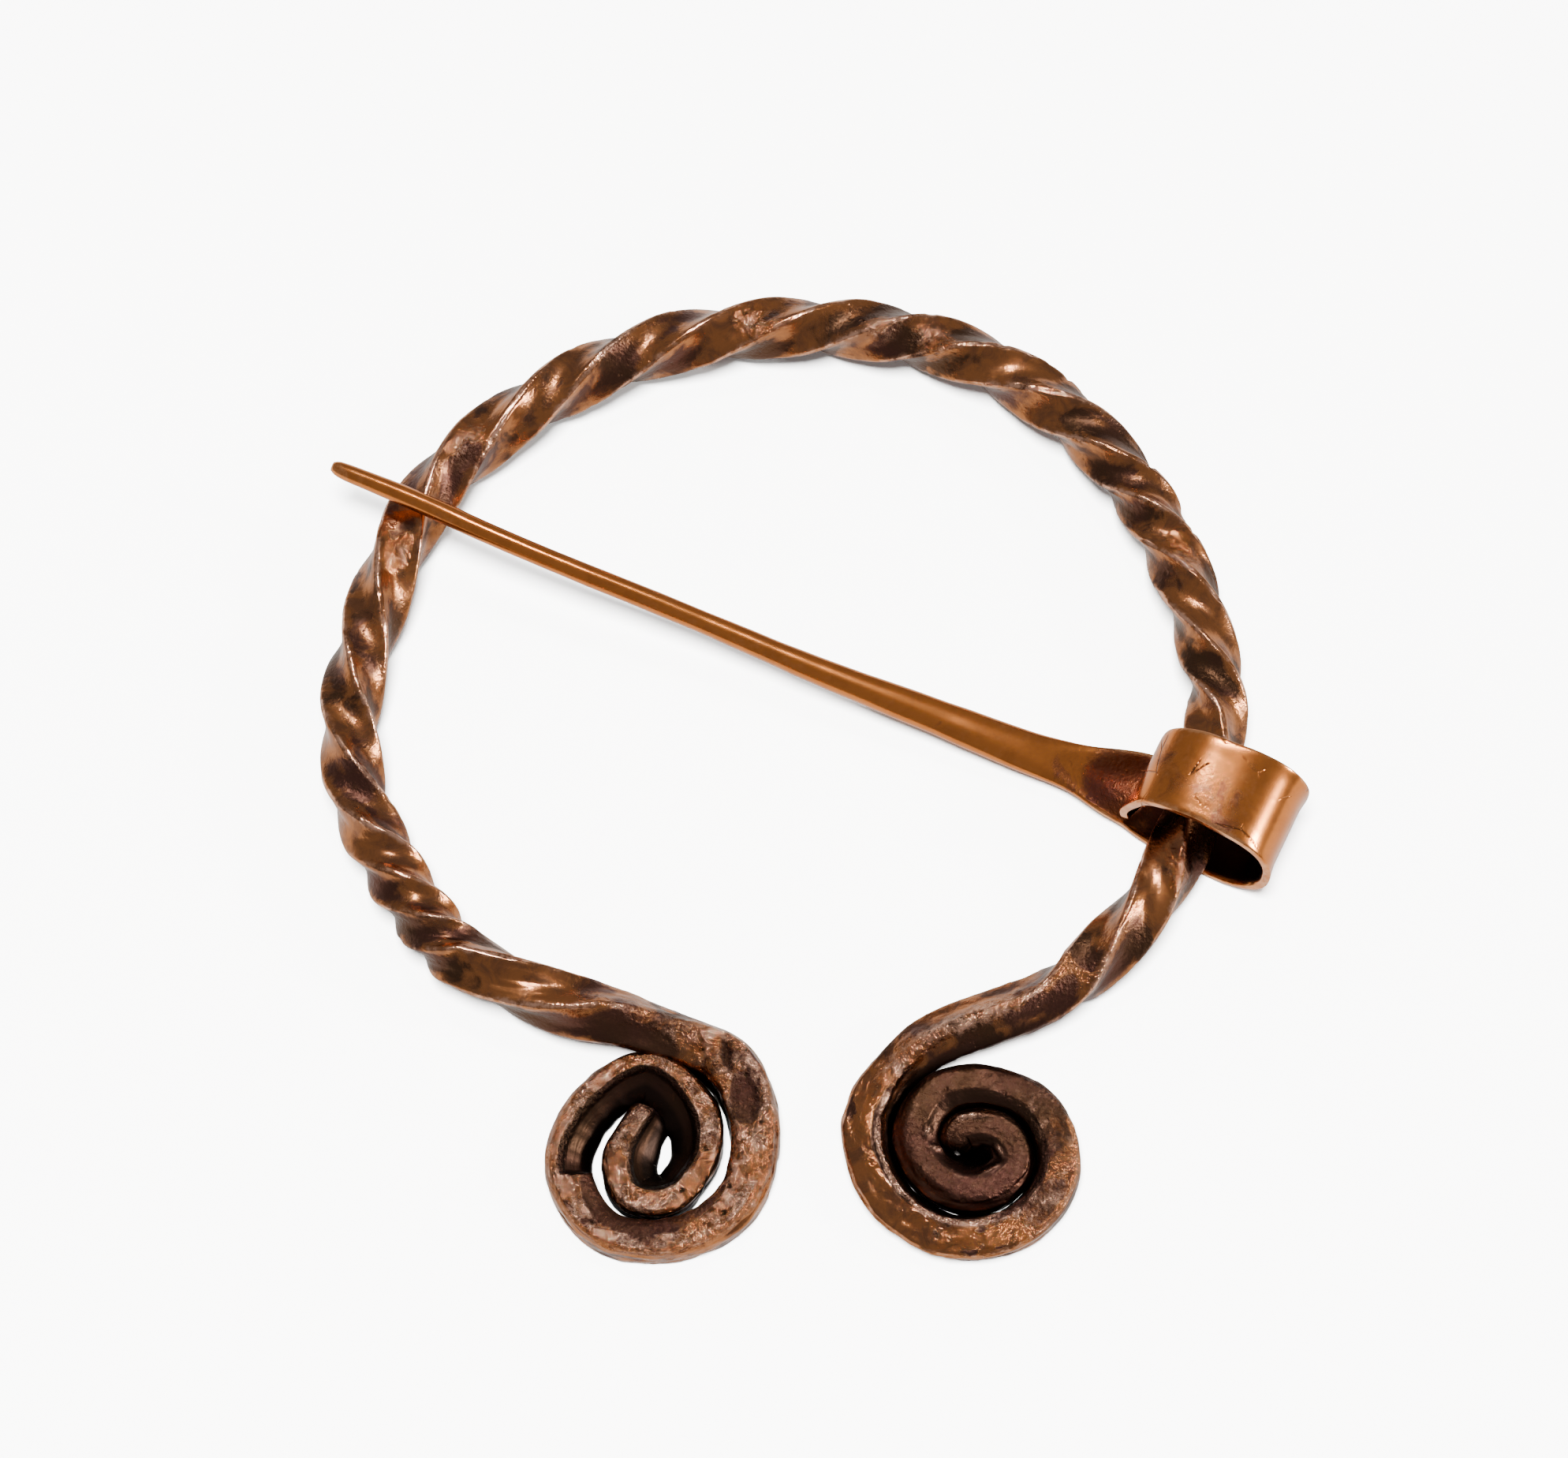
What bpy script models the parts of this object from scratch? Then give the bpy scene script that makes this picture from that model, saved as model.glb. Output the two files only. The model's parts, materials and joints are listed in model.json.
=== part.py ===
"""Penannular brooch, hand forged from square copper rod.

The brooch lies as it does on a table: +Z is up, the undersides of the coiled
terminals are on z = 0, and the gap between the terminals faces -Y. It has two
pieces. The ring is one twisted square bar whose tapered ends are coiled flat.
The pin is one forging whose flattened end is rolled into a loose loop round the
bar, and it travels round the hoop about the vertical axis at PIVOT.

Sizes and places are in millimetres and degrees, and MM turns them into metres.
Plan positions are measured from the middle of the hoop.
"""

import math

import bmesh
import bpy
import numpy as np
from mathutils import Vector

MM = 0.001

# Main sizes
HOOP_RADIUS = 38.0
BAR_SIDE = 4.0
NEEDLE_LENGTH = 77.8
NEEDLE_THICKNESS = 1.74
STRIP_WIDTH = 8.3
STRIP_THICKNESS = 0.9

# Bar of the ring
CORNER_CUT = 0.45
FACE_HOLLOW = 0.14
ARRIS_COUNT = 4

# Course of the hoop: polar angle, and radius of the bar's centreline as a share of
# HOOP_RADIUS
HOOP_COURSE = (
    (236, 0.718), (228, 0.758), (221, 0.795), (214, 0.837), (205, 0.861), (196, 0.887), (187, 0.921),
    (176, 0.939), (164, 0.942), (152, 0.961), (140, 0.987), (125, 0.989), (110, 0.997), (95, 1.005),
    (80, 1.018), (65, 1.024), (50, 1.008), (35, 0.979), (20, 0.953), (6, 0.939), (-6, 0.900),
    (-16, 0.871), (-26, 0.847), (-36, 0.816), (-45, 0.787),
)

# Polar angles at which an arris of the twist lies on top of the bar
ARRIS_ANGLES = (
    237, 215, 208.5, 201, 193.5, 182.5, 170.5, 158, 142, 127, 114, 100.5,
    87.5, 76.5, 66, 53.5, 42.5, 34, 24.5, 13, 4, -14, -32, -47,
)

# Coils, every eighth of a turn from the inner end: radii of the first turn about
# the eye as shares of BAR_SIDE, then the gaps that the next turns leave beside it.
# The eyes are in shares of HOOP_RADIUS.
COIL_STEP = 45
LEFT_EYE = (-0.2563, -0.8958)
LEFT_START = 100
LEFT_FIRST_TURN = (0.925, 0.65, 0.71, 0.89, 0.80, 0.64, 0.74, 1.10)
LEFT_GAPS = (0.3, 0.86, 0.9, 0.5, 0.36, 1.0, 1.07, 1.16, 0.42)
RIGHT_EYE = (0.3911, -0.8889)
RIGHT_START = 165
RIGHT_FIRST_TURN = (0.35, 0.48, 0.56, 0.75, 0.90, 0.82, 0.80, 0.90)
RIGHT_GAPS = (0.3, 0.44, 0.35, 0.4, 0.32, 0.32, 0.42, 0.44, 0.3, 0.34)

# Width and height of the hammered bar as shares of its side, at degrees from the
# inner end
LEFT_SHAPE = (
    (0, 0.72, 0.60), (90, 0.93, 0.64), (225, 0.875, 0.67), (315, 1.00, 0.69), (360, 0.79, 0.70),
    (405, 0.92, 0.71), (450, 0.92, 0.72), (500, 0.77, 0.71), (545, 0.77, 0.70), (585, 0.90, 0.75),
    (630, 0.90, 0.80), (675, 1.02, 0.85), (720, 0.95, 0.90),
)
RIGHT_SHAPE = (
    (0, 0.60, 0.50), (90, 0.74, 0.56), (165, 0.76, 0.60), (225, 0.86, 0.63), (315, 0.86, 0.67),
    (360, 0.88, 0.70), (450, 0.80, 0.72), (540, 0.82, 0.72), (630, 0.90, 0.72), (720, 0.97, 0.80),
    (765, 0.94, 0.84),
)

# Roll of the bar in the coils, in quarter turns of the twist, at degrees from the
# inner end. A whole number has an arris on top, a half has a face on top.
LEFT_ROLL = ((0, -0.80), (430, -0.80), (475, -0.5), (640, -0.5), (690, -0.3), (720, -0.14))
RIGHT_ROLL = ((0, 23.5), (560, 23.5), (640, 23.32), (740, 23.25))

# Size of the bar's two ends as a share of the bar beside them
END_SHARE = 0.72

# Hammered undersides of the terminals, and where the bar rises from them: degrees of
# the coil before its arm, and polar angle on the hoop
UNDERSIDE_FLAT = 0.12
LEFT_RISE = (20, 222)
RIGHT_RISE = (15, -20)

# Loop of the pin: what it leaves round the bar, its strip's width as a share of
# STRIP_WIDTH at degrees round it, and its place as shares of HOOP_RADIUS
STRIP_GAP = 0.3
LOOP_SIDE_ROOM = 2.85
LOOP_HEAD_ROOM = 3.3
LOOP_SQUARENESS = 2.6
LOOP_END_ANGLE = 203.0
LOOP_WIDTHS = ((-90, 1.0), (0, 0.964), (90, 0.867), (203, 0.759))
LOOP_PLACE = (0.9184, -0.1513)
LOOP_HEADING = -26.0

# Needle, from its tip to the loop: distance along the loop's heading and sideways
# drift as shares of NEEDLE_LENGTH, height of its middle as a share of NEEDLE_REST,
# width and thickness as shares of NEEDLE_THICKNESS, squareness of its section
NEEDLE_GAP = 0.32
NEEDLE_COURSE = (
    (-1.000, -0.0697, 1.020, 0.316, 0.316, 2.0),
    (-0.985, -0.0694, 1.016, 0.603, 0.603, 2.0),
    (-0.954, -0.0679, 1.011, 0.833, 0.833, 2.0),
    (-0.900, -0.0658, 1.000, 0.977, 0.977, 2.0),
    (-0.815, -0.0653, 0.984, 1.000, 1.000, 2.0),
    (-0.743, -0.0620, 0.926, 1.011, 1.011, 2.0),
    (-0.654, -0.0550, 0.819, 1.040, 1.040, 2.0),
    (-0.564, -0.0482, 0.698, 1.092, 1.080, 2.1),
    (-0.476, -0.0404, 0.591, 1.224, 1.178, 2.1),
    (-0.387, -0.0324, 0.483, 1.437, 1.264, 2.2),
    (-0.298, -0.0237, 0.376, 1.753, 1.236, 2.3),
    (-0.210, -0.0158, 0.269, 2.069, 1.149, 2.4),
    (-0.157, -0.0087, 0.188, 2.414, 0.920, 2.8),
    (-0.113, -0.0042, 0.101, 3.391, 0.632, 3.6),
)

# Neck between the needle and the loop: length from the loop's middle, and width as a
# share of STRIP_WIDTH
NECK_LENGTH = 6.2
NECK_WIDTH = 0.831

# Axis on which the pin travels round the hoop, as shares of HOOP_RADIUS
PIVOT = (0.0097, 0.0805)

# Fineness of the facets
SWEEP_STEP = 1.5
SWEEP_TURN = 13.0
PIN_STEP = 2.4
LOOP_STEP = 9.0
SECTION_POINTS = 12

BAR_REACH = math.hypot(BAR_SIDE / 2, BAR_SIDE / 2 - CORNER_CUT)
HOOP_HEIGHT = STRIP_THICKNESS + STRIP_GAP + BAR_REACH
NEEDLE_REST = HOOP_HEIGHT + BAR_REACH + NEEDLE_GAP + NEEDLE_THICKNESS / 2


def clear_scene():
    """Remove the objects, meshes and materials that the file opened with."""
    for thing in list(bpy.data.objects):
        bpy.data.objects.remove(thing, do_unlink=True)
    for mesh in list(bpy.data.meshes):
        bpy.data.meshes.remove(mesh)
    for material in list(bpy.data.materials):
        bpy.data.materials.remove(material)


def on_plan(shares):
    """Plan point from its shares of the hoop's radius."""
    return (HOOP_RADIUS * shares[0], HOOP_RADIUS * shares[1])


def polar(centre, angle, radius):
    """Plan point at a polar angle and radius about a centre."""
    turn = math.radians(angle)
    return (centre[0] + radius * math.cos(turn), centre[1] + radius * math.sin(turn))


def ease(share):
    """Smooth step from 0 to 1."""
    share = np.clip(share, 0.0, 1.0)
    return share * share * (3 - 2 * share)


def keyed(keys, where):
    """Value at a place, in straight lines between (place, value) keys in rising order."""
    places, values = zip(*keys)
    return np.interp(where, places, values)


def smooth_rows(rows, count):
    """Centripetal curve through rows of values, with count samples in each stretch.

    The first two columns are the plan position and set the spacing of the knots.
    """
    rows = np.asarray(rows, float)
    rows = np.vstack([2 * rows[0] - rows[1], rows, 2 * rows[-1] - rows[-2]])
    gaps = np.sqrt(np.linalg.norm(np.diff(rows[:, :2], axis=0), axis=1))
    knots = np.concatenate([[0.0], np.cumsum(gaps)])
    samples = []
    for i in range(1, len(rows) - 2):
        k0, k1, k2, k3 = knots[i - 1:i + 3]
        p0, p1, p2, p3 = rows[i - 1:i + 3]
        last = i == len(rows) - 3
        for t in np.linspace(k1, k2, count + last, endpoint=last):
            a1 = p0 + (p1 - p0) * (t - k0) / (k1 - k0)
            a2 = p1 + (p2 - p1) * (t - k1) / (k2 - k1)
            a3 = p2 + (p3 - p2) * (t - k2) / (k3 - k2)
            b1 = a1 + (a2 - a1) * (t - k0) / (k2 - k0)
            b2 = a2 + (a3 - a2) * (t - k1) / (k3 - k1)
            samples.append(b1 + (b2 - b1) * (t - k1) / (k2 - k1))
    return np.array(samples)


def coil_size(shape, turned):
    """Width and height of the bar in a coil, at degrees turned from the inner end."""
    width = keyed([row[:2] for row in shape], turned)
    height = keyed([(row[0], row[2]) for row in shape], turned)
    return BAR_SIDE * width, BAR_SIDE * height


def coil_radii(first_turn, gaps, shape):
    """Radii of the bar's centreline at each COIL_STEP from the inner end."""
    radii = [BAR_SIDE * share for share in first_turn]
    per_turn = 360 // COIL_STEP
    for gap in gaps:
        here = COIL_STEP * len(radii)
        widths = coil_size(shape, here)[0] + coil_size(shape, here - 360)[0]
        radii.append(radii[len(radii) - per_turn] + widths / 2 + gap)
    return radii


LEFT_RADII = coil_radii(LEFT_FIRST_TURN, LEFT_GAPS, LEFT_SHAPE)
RIGHT_RADII = coil_radii(RIGHT_FIRST_TURN, RIGHT_GAPS, RIGHT_SHAPE)
LEFT_TURN = COIL_STEP * (len(LEFT_RADII) - 1)
RIGHT_TURN = COIL_STEP * (len(RIGHT_RADII) - 1)

# Marks number the bar's length in degrees: left coil, hoop, right coil
HOOP_MARK = LEFT_TURN + 250
RIGHT_MARK = HOOP_MARK + 60 + RIGHT_TURN


def hoop_mark(angle):
    """Mark of a polar angle on the hoop."""
    return HOOP_MARK - angle


def right_mark(turned):
    """Mark of a place in the right coil, at degrees from its inner end."""
    return RIGHT_MARK - turned


def bar_course():
    """Plan points and marks of the bar, from the left inner end to the right one."""
    rows = []
    for i, radius in enumerate(LEFT_RADII):
        turned = i * COIL_STEP
        rows.append((*polar(on_plan(LEFT_EYE), LEFT_START + turned, radius), turned))
    for angle, share in HOOP_COURSE:
        rows.append((*polar((0, 0), angle, HOOP_RADIUS * share), hoop_mark(angle)))
    for i, radius in reversed(list(enumerate(RIGHT_RADII))):
        turned = i * COIL_STEP
        rows.append((*polar(on_plan(RIGHT_EYE), RIGHT_START - turned, radius), right_mark(turned)))
    return smooth_rows(rows, 24)


def roll_at(mark):
    """Roll of the bar's section in degrees. The twist is left-handed."""
    keys = list(LEFT_ROLL)
    keys += [(hoop_mark(angle), count) for count, angle in enumerate(ARRIS_ANGLES)]
    keys += [(right_mark(turned), count) for turned, count in reversed(RIGHT_ROLL)]
    return 45 - 90 * keyed(keys, mark)


def hammered_size(mark):
    """Width and height that the bar has in the nearer coil."""
    if mark < hoop_mark(90):
        return coil_size(LEFT_SHAPE, mark)
    return coil_size(RIGHT_SHAPE, RIGHT_MARK - mark)


def hoop_share(mark):
    """1 on the hoop and 0 in the coils, eased over the arms."""
    low, high = LEFT_TURN - LEFT_RISE[0], hoop_mark(LEFT_RISE[1])
    up = ease((mark - low) / (high - low))
    high, low = hoop_mark(RIGHT_RISE[1]), right_mark(RIGHT_TURN - RIGHT_RISE[0])
    down = ease((mark - high) / (low - high))
    return up * (1 - down)


def bar_section(roll, hollow):
    """Points of the bar's rolled section: a square with cut corners and hollow faces."""
    half = BAR_SIDE / 2
    points = []
    for quarter in range(ARRIS_COUNT):
        turn = roll + math.radians(90 * quarter)
        cos, sin = math.cos(turn), math.sin(turn)
        for a, b in ((half - hollow, 0.0), (half, half - CORNER_CUT), (half - CORNER_CUT, half)):
            points.append((a * cos - b * sin, a * sin + b * cos))
    return points


def hammer(section, width, height, share):
    """Section pressed to a width and a height, by a share from 0 to 1."""
    wide = width / 2 / max(a for a, b in section)
    high = height / 2 / max(b for a, b in section)
    return [(a * (1 + (wide - 1) * share), b * (1 + (high - 1) * share)) for a, b in section]


def stations(course):
    """Pick rows of the fine course so that no facet is long or turns far."""
    ahead = np.diff(course[:, :2], axis=0)
    length = np.linalg.norm(ahead, axis=1)
    heading = np.degrees(np.unwrap(np.arctan2(ahead[:, 1], ahead[:, 0])))
    bend = np.abs(np.diff(heading, append=heading[-1]))
    roll = np.abs(np.diff(roll_at(course[:, 2])))
    cost = np.maximum(length / SWEEP_STEP, np.maximum(bend, roll) / SWEEP_TURN)
    total = np.concatenate([[0.0], np.cumsum(cost)])
    marks = np.linspace(0, total[-1], int(math.ceil(total[-1])) + 1)
    return np.stack([np.interp(marks, total, course[:, k]) for k in range(3)], axis=1)


def bar_rings():
    """Rings of points round the bar, one for each station, in millimetres."""
    rows = stations(bar_course())
    ahead = np.gradient(rows[:, :2], axis=0)
    ahead /= np.linalg.norm(ahead, axis=1)[:, None]
    rings = []
    for i, (x, y, mark) in enumerate(rows):
        share = float(hoop_share(mark))
        section = bar_section(math.radians(float(roll_at(mark))), FACE_HOLLOW * share)
        width, height = hammered_size(mark)
        if i in (0, len(rows) - 1):
            width, height = END_SHARE * width, END_SHARE * height
        across = hammer(section, width, height, 1 - share)
        drop = -min(b for a, b in across) - UNDERSIDE_FLAT
        middle = drop + (HOOP_HEIGHT - drop) * share
        left = (-ahead[i][1], ahead[i][0])
        rings.append([(x + left[0] * a, y + left[1] * a, max(middle + b, 0.0))
                      for a, b in across])
    return rings


def loop_profile():
    """Rows of the loop's middle line in the pin's frame: along, up, width."""
    half_length = BAR_REACH + LOOP_SIDE_ROOM + STRIP_THICKNESS / 2
    half_height = (2 * BAR_REACH + LOOP_HEAD_ROOM + STRIP_GAP + STRIP_THICKNESS) / 2
    middle = STRIP_THICKNESS / 2 + half_height
    count = int(round((LOOP_END_ANGLE + 90) / LOOP_STEP))
    rows = []
    for angle in np.linspace(-90, LOOP_END_ANGLE, count + 1):
        cos, sin = math.cos(math.radians(angle)), math.sin(math.radians(angle))
        reach = (abs(cos / half_length) ** LOOP_SQUARENESS
                 + abs(sin / half_height) ** LOOP_SQUARENESS) ** (-1 / LOOP_SQUARENESS)
        width = STRIP_WIDTH * float(keyed(LOOP_WIDTHS, angle))
        rows.append((reach * cos, middle + reach * sin, width))
    return rows


def pin_course():
    """Rows along the pin: along, sideways, up, width, thickness, squareness."""
    rows = [(NEEDLE_LENGTH * along, NEEDLE_LENGTH * aside, NEEDLE_REST * up,
             NEEDLE_THICKNESS * width, NEEDLE_THICKNESS * thick, square)
            for along, aside, up, width, thick, square in NEEDLE_COURSE]
    floor = STRIP_THICKNESS / 2
    neck = STRIP_WIDTH * NECK_WIDTH
    rows.append((-NECK_LENGTH, 0.0, floor, neck, STRIP_THICKNESS, 5.0))
    rows.append((-NECK_LENGTH / 2, 0.0, floor, (neck + STRIP_WIDTH) / 2, STRIP_THICKNESS, 6.0))
    rows.append((0.0, 0.0, floor, STRIP_WIDTH, STRIP_THICKNESS, 6.0))
    fine = smooth_rows(rows, 12)
    length = np.concatenate([[0.0], np.cumsum(np.linalg.norm(np.diff(fine[:, :3], axis=0), axis=1))])
    near_tip = np.array([0.0, 0.5, 1.2, 2.2])
    marks = np.concatenate([near_tip, np.linspace(4, length[-1], int(length[-1] / PIN_STEP))])
    rows = [tuple(np.interp(mark, length, fine[:, k]) for k in range(6)) for mark in marks]
    for along, up, width in loop_profile()[1:]:
        rows.append((along, 0.0, up, width, STRIP_THICKNESS, 6.0))
    return rows


def round_section(width, thickness, squareness):
    """Points of a rounded section, from a circle to a flat strip with round edges."""
    points = []
    for i in range(SECTION_POINTS):
        angle = math.radians(360 * (i + 0.5) / SECTION_POINTS)
        cos, sin = math.cos(angle), math.sin(angle)
        a = math.copysign(abs(cos) ** (2 / squareness), cos) * width / 2
        b = math.copysign(abs(sin) ** (2 / squareness), sin) * thickness / 2
        points.append((a, b))
    return points


def pin_rings():
    """Rings of points round the pin, in millimetres from the middle of the hoop."""
    rows = pin_course()
    middles = np.array([row[:3] for row in rows])
    ahead = np.gradient(middles, axis=0)
    turn = math.radians(LOOP_HEADING)
    origin = on_plan(LOOP_PLACE)
    along = Vector((math.cos(turn), math.sin(turn), 0))
    beside = Vector((-math.sin(turn), math.cos(turn), 0))
    rings = []
    for (u, v, up, width, thick, square), step in zip(rows, ahead):
        tangent = Vector(step).normalized()
        across = (Vector((0, 1, 0)) - tangent * tangent.y).normalized()
        rise = tangent.cross(across)
        ring = []
        for a, b in round_section(width, thick, square):
            spot = Vector((u, v, up)) + across * a + rise * b
            place = along * spot.x + beside * spot.y
            ring.append((place.x + origin[0], place.y + origin[1], max(spot.z, 0.0)))
        rings.append(ring)
    return rings


def sweep(name, rings, origin):
    """Closed object from rings of points, with its origin at a plan point."""
    work = bmesh.new()
    rows = []
    for ring in rings:
        rows.append([work.verts.new(((x - origin[0]) * MM, (y - origin[1]) * MM, z * MM))
                     for x, y, z in ring])
    for here, there in zip(rows, rows[1:]):
        for i in range(len(here)):
            j = (i + 1) % len(here)
            work.faces.new((here[i], here[j], there[j], there[i]))
    work.faces.new(list(reversed(rows[0])))
    work.faces.new(rows[-1])
    bmesh.ops.recalc_face_normals(work, faces=work.faces)
    bmesh.ops.triangulate(work, faces=[f for f in work.faces if len(f.verts) > 4])
    mesh = bpy.data.meshes.new(name)
    work.to_mesh(mesh)
    work.free()
    thing = bpy.data.objects.new(name, mesh)
    thing.location = (origin[0] * MM, origin[1] * MM, 0)
    bpy.context.scene.collection.objects.link(thing)
    return thing


def shade(thing):
    """Smooth shading, with the arrises kept sharp."""
    mesh = thing.data
    mesh.shade_smooth()
    mesh.set_sharp_from_angle(angle=math.radians(40))


def finish(name, colour, roughness):
    """Metal finish with one colour and roughness."""
    material = bpy.data.materials.new(name)
    material.use_nodes = True
    shader = material.node_tree.nodes["Principled BSDF"]
    shader.inputs["Base Color"].default_value = (*colour, 1)
    shader.inputs["Roughness"].default_value = roughness
    shader.inputs["Metallic"].default_value = 1.0
    return material


def ring_copper():
    """Darkened copper of the ring."""
    return finish("ring_copper", (0.36, 0.17, 0.08), 0.42)


def pin_copper():
    """Smoother and brighter copper of the pin."""
    return finish("pin_copper", (0.52, 0.24, 0.09), 0.34)


def footprint_middle(things):
    """Middle of the objects' joint footprint, in metres."""
    low = [min((thing.location + v.co)[k] for thing in things for v in thing.data.vertices)
           for k in range(2)]
    high = [max((thing.location + v.co)[k] for thing in things for v in thing.data.vertices)
            for k in range(2)]
    return [(a + b) / 2 for a, b in zip(low, high)]


def build():
    """Model the ring and the pin and put the footprint's middle on the origin."""
    clear_scene()
    ring = sweep("ring", bar_rings(), (0.0, 0.0))
    ring.data.materials.append(ring_copper())
    pin = sweep("pin", pin_rings(), on_plan(PIVOT))
    pin.data.materials.append(pin_copper())
    brooch = bpy.data.objects.new("brooch", None)
    bpy.context.scene.collection.objects.link(brooch)
    middle = footprint_middle([ring, pin])
    for thing in (ring, pin):
        shade(thing)
        thing.parent = brooch
    brooch.location = (-middle[0], -middle[1], 0)
    bpy.context.view_layer.update()


build()
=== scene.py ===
"""Penannular brooch of forged copper: the dressed model.

The ring is one twisted square bar with coiled ends, and the pin is one forging whose
strip is rolled into a loop round the bar. Both are modelled again here with their
hammer marks, worn arrises and patina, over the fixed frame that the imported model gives.

Sizes are in millimetres and degrees unless a name says otherwise. Plan positions are
measured from the middle of the hoop, and FOOTPRINT_MIDDLE takes them to the frame.
"""

import json
import logging
import math
from collections.abc import Callable, Sequence
from dataclasses import dataclass, field
from enum import Enum
from functools import partial
from itertools import product

import bpy
import numpy as np
from mathutils import Matrix, Vector

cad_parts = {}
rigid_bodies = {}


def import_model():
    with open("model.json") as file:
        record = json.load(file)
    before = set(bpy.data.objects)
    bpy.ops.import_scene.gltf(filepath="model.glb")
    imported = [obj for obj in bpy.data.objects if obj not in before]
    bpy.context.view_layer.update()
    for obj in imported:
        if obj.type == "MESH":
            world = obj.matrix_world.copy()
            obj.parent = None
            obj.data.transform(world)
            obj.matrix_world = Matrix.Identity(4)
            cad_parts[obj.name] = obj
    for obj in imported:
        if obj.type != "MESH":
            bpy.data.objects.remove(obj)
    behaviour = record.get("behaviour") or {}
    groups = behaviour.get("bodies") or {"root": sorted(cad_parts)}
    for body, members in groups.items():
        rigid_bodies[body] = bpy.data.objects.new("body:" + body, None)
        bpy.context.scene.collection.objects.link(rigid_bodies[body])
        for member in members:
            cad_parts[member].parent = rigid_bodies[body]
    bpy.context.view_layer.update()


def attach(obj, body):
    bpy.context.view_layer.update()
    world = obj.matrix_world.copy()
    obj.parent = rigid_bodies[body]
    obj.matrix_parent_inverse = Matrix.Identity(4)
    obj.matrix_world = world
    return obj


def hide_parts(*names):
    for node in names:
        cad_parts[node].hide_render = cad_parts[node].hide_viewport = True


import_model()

LOG = logging.getLogger("brooch")
MM = 0.001
FOOTPRINT_MIDDLE = (2.0781, -0.8404)
PHOTO_WIDTH = 1988
SMOOTH_ANGLE = math.pi
MIX_SOCKETS = {"FLOAT": (2, 3, 0), "RGBA": (6, 7, 2)}

Plan = tuple[float, float]
Keys = Sequence[tuple[float, float]]
Rule = Callable[[np.ndarray], np.ndarray]
Socket = bpy.types.NodeSocket
Colour = tuple[float, float, float, float]


class Wind(Enum):
    """Which way a coil winds out from its eye, seen from above."""

    LEFT = 1
    RIGHT = -1


class Metal(Enum):
    """The copper of each piece, by its slot in the record."""

    RING = "ring_copper"
    PIN = "pin_copper"


def ease(share: np.ndarray) -> np.ndarray:
    """Smooth step from 0 to 1."""
    share = np.clip(share, 0.0, 1.0)
    return share * share * (3 - 2 * share)


def bell(distance: np.ndarray, reach: float) -> np.ndarray:
    """Bell curve of a distance, 1 at no distance."""
    return np.exp(-(distance / reach) ** 2)


def keyed(keys: Keys, where: np.ndarray) -> np.ndarray:
    """Read a table of keys in straight lines.

    Args:
        keys: (place, value) pairs in rising order of place.
        where: Places to read.

    Returns:
        The value at each place.
    """
    places, values = zip(*keys)
    return np.interp(where, places, values)


def polar(centre: Plan, angle: float, radius: float) -> Plan:
    """Plan point at a polar angle and radius about a centre."""
    turn = math.radians(angle)
    return (centre[0] + radius * math.cos(turn), centre[1] + radius * math.sin(turn))


def distances(points: np.ndarray) -> np.ndarray:
    """Distance of each point from the first, along the line through them all."""
    return np.concatenate([[0.0], np.cumsum(np.linalg.norm(np.diff(points, axis=0), axis=1))])


def in_frame(x: np.ndarray, y: np.ndarray, z: np.ndarray) -> np.ndarray:
    """Places in the frame, in metres, of plan points and heights in millimetres."""
    return np.stack([x - FOOTPRINT_MIDDLE[0], y - FOOTPRINT_MIDDLE[1], z], axis=1) * MM


def smooth_rows(rows: np.ndarray, count: int) -> np.ndarray:
    """Run a centripetal curve through rows of values.

    Args:
        rows: Rows whose first two columns are the plan position.
        count: Samples in each stretch between two rows.

    Returns:
        The rows of the curve.
    """
    rows = np.asarray(rows, float)
    rows = np.vstack([2 * rows[0] - rows[1], rows, 2 * rows[-1] - rows[-2]])
    gaps = np.sqrt(np.linalg.norm(np.diff(rows[:, :2], axis=0), axis=1))
    knots = np.concatenate([[0.0], np.cumsum(gaps)])
    samples = []
    for i in range(1, len(rows) - 2):
        k0, k1, k2, k3 = knots[i - 1:i + 3]
        p0, p1, p2, p3 = rows[i - 1:i + 3]
        last = i == len(rows) - 3
        for t in np.linspace(k1, k2, count + last, endpoint=last):
            a1 = p0 + (p1 - p0) * (t - k0) / (k1 - k0)
            a2 = p1 + (p2 - p1) * (t - k1) / (k2 - k1)
            a3 = p2 + (p3 - p2) * (t - k2) / (k3 - k2)
            b1 = a1 + (a2 - a1) * (t - k0) / (k2 - k0)
            b2 = a2 + (a3 - a2) * (t - k1) / (k3 - k1)
            samples.append(b1 + (b2 - b1) * (t - k1) / (k2 - k1))
    return np.array(samples)


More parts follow.
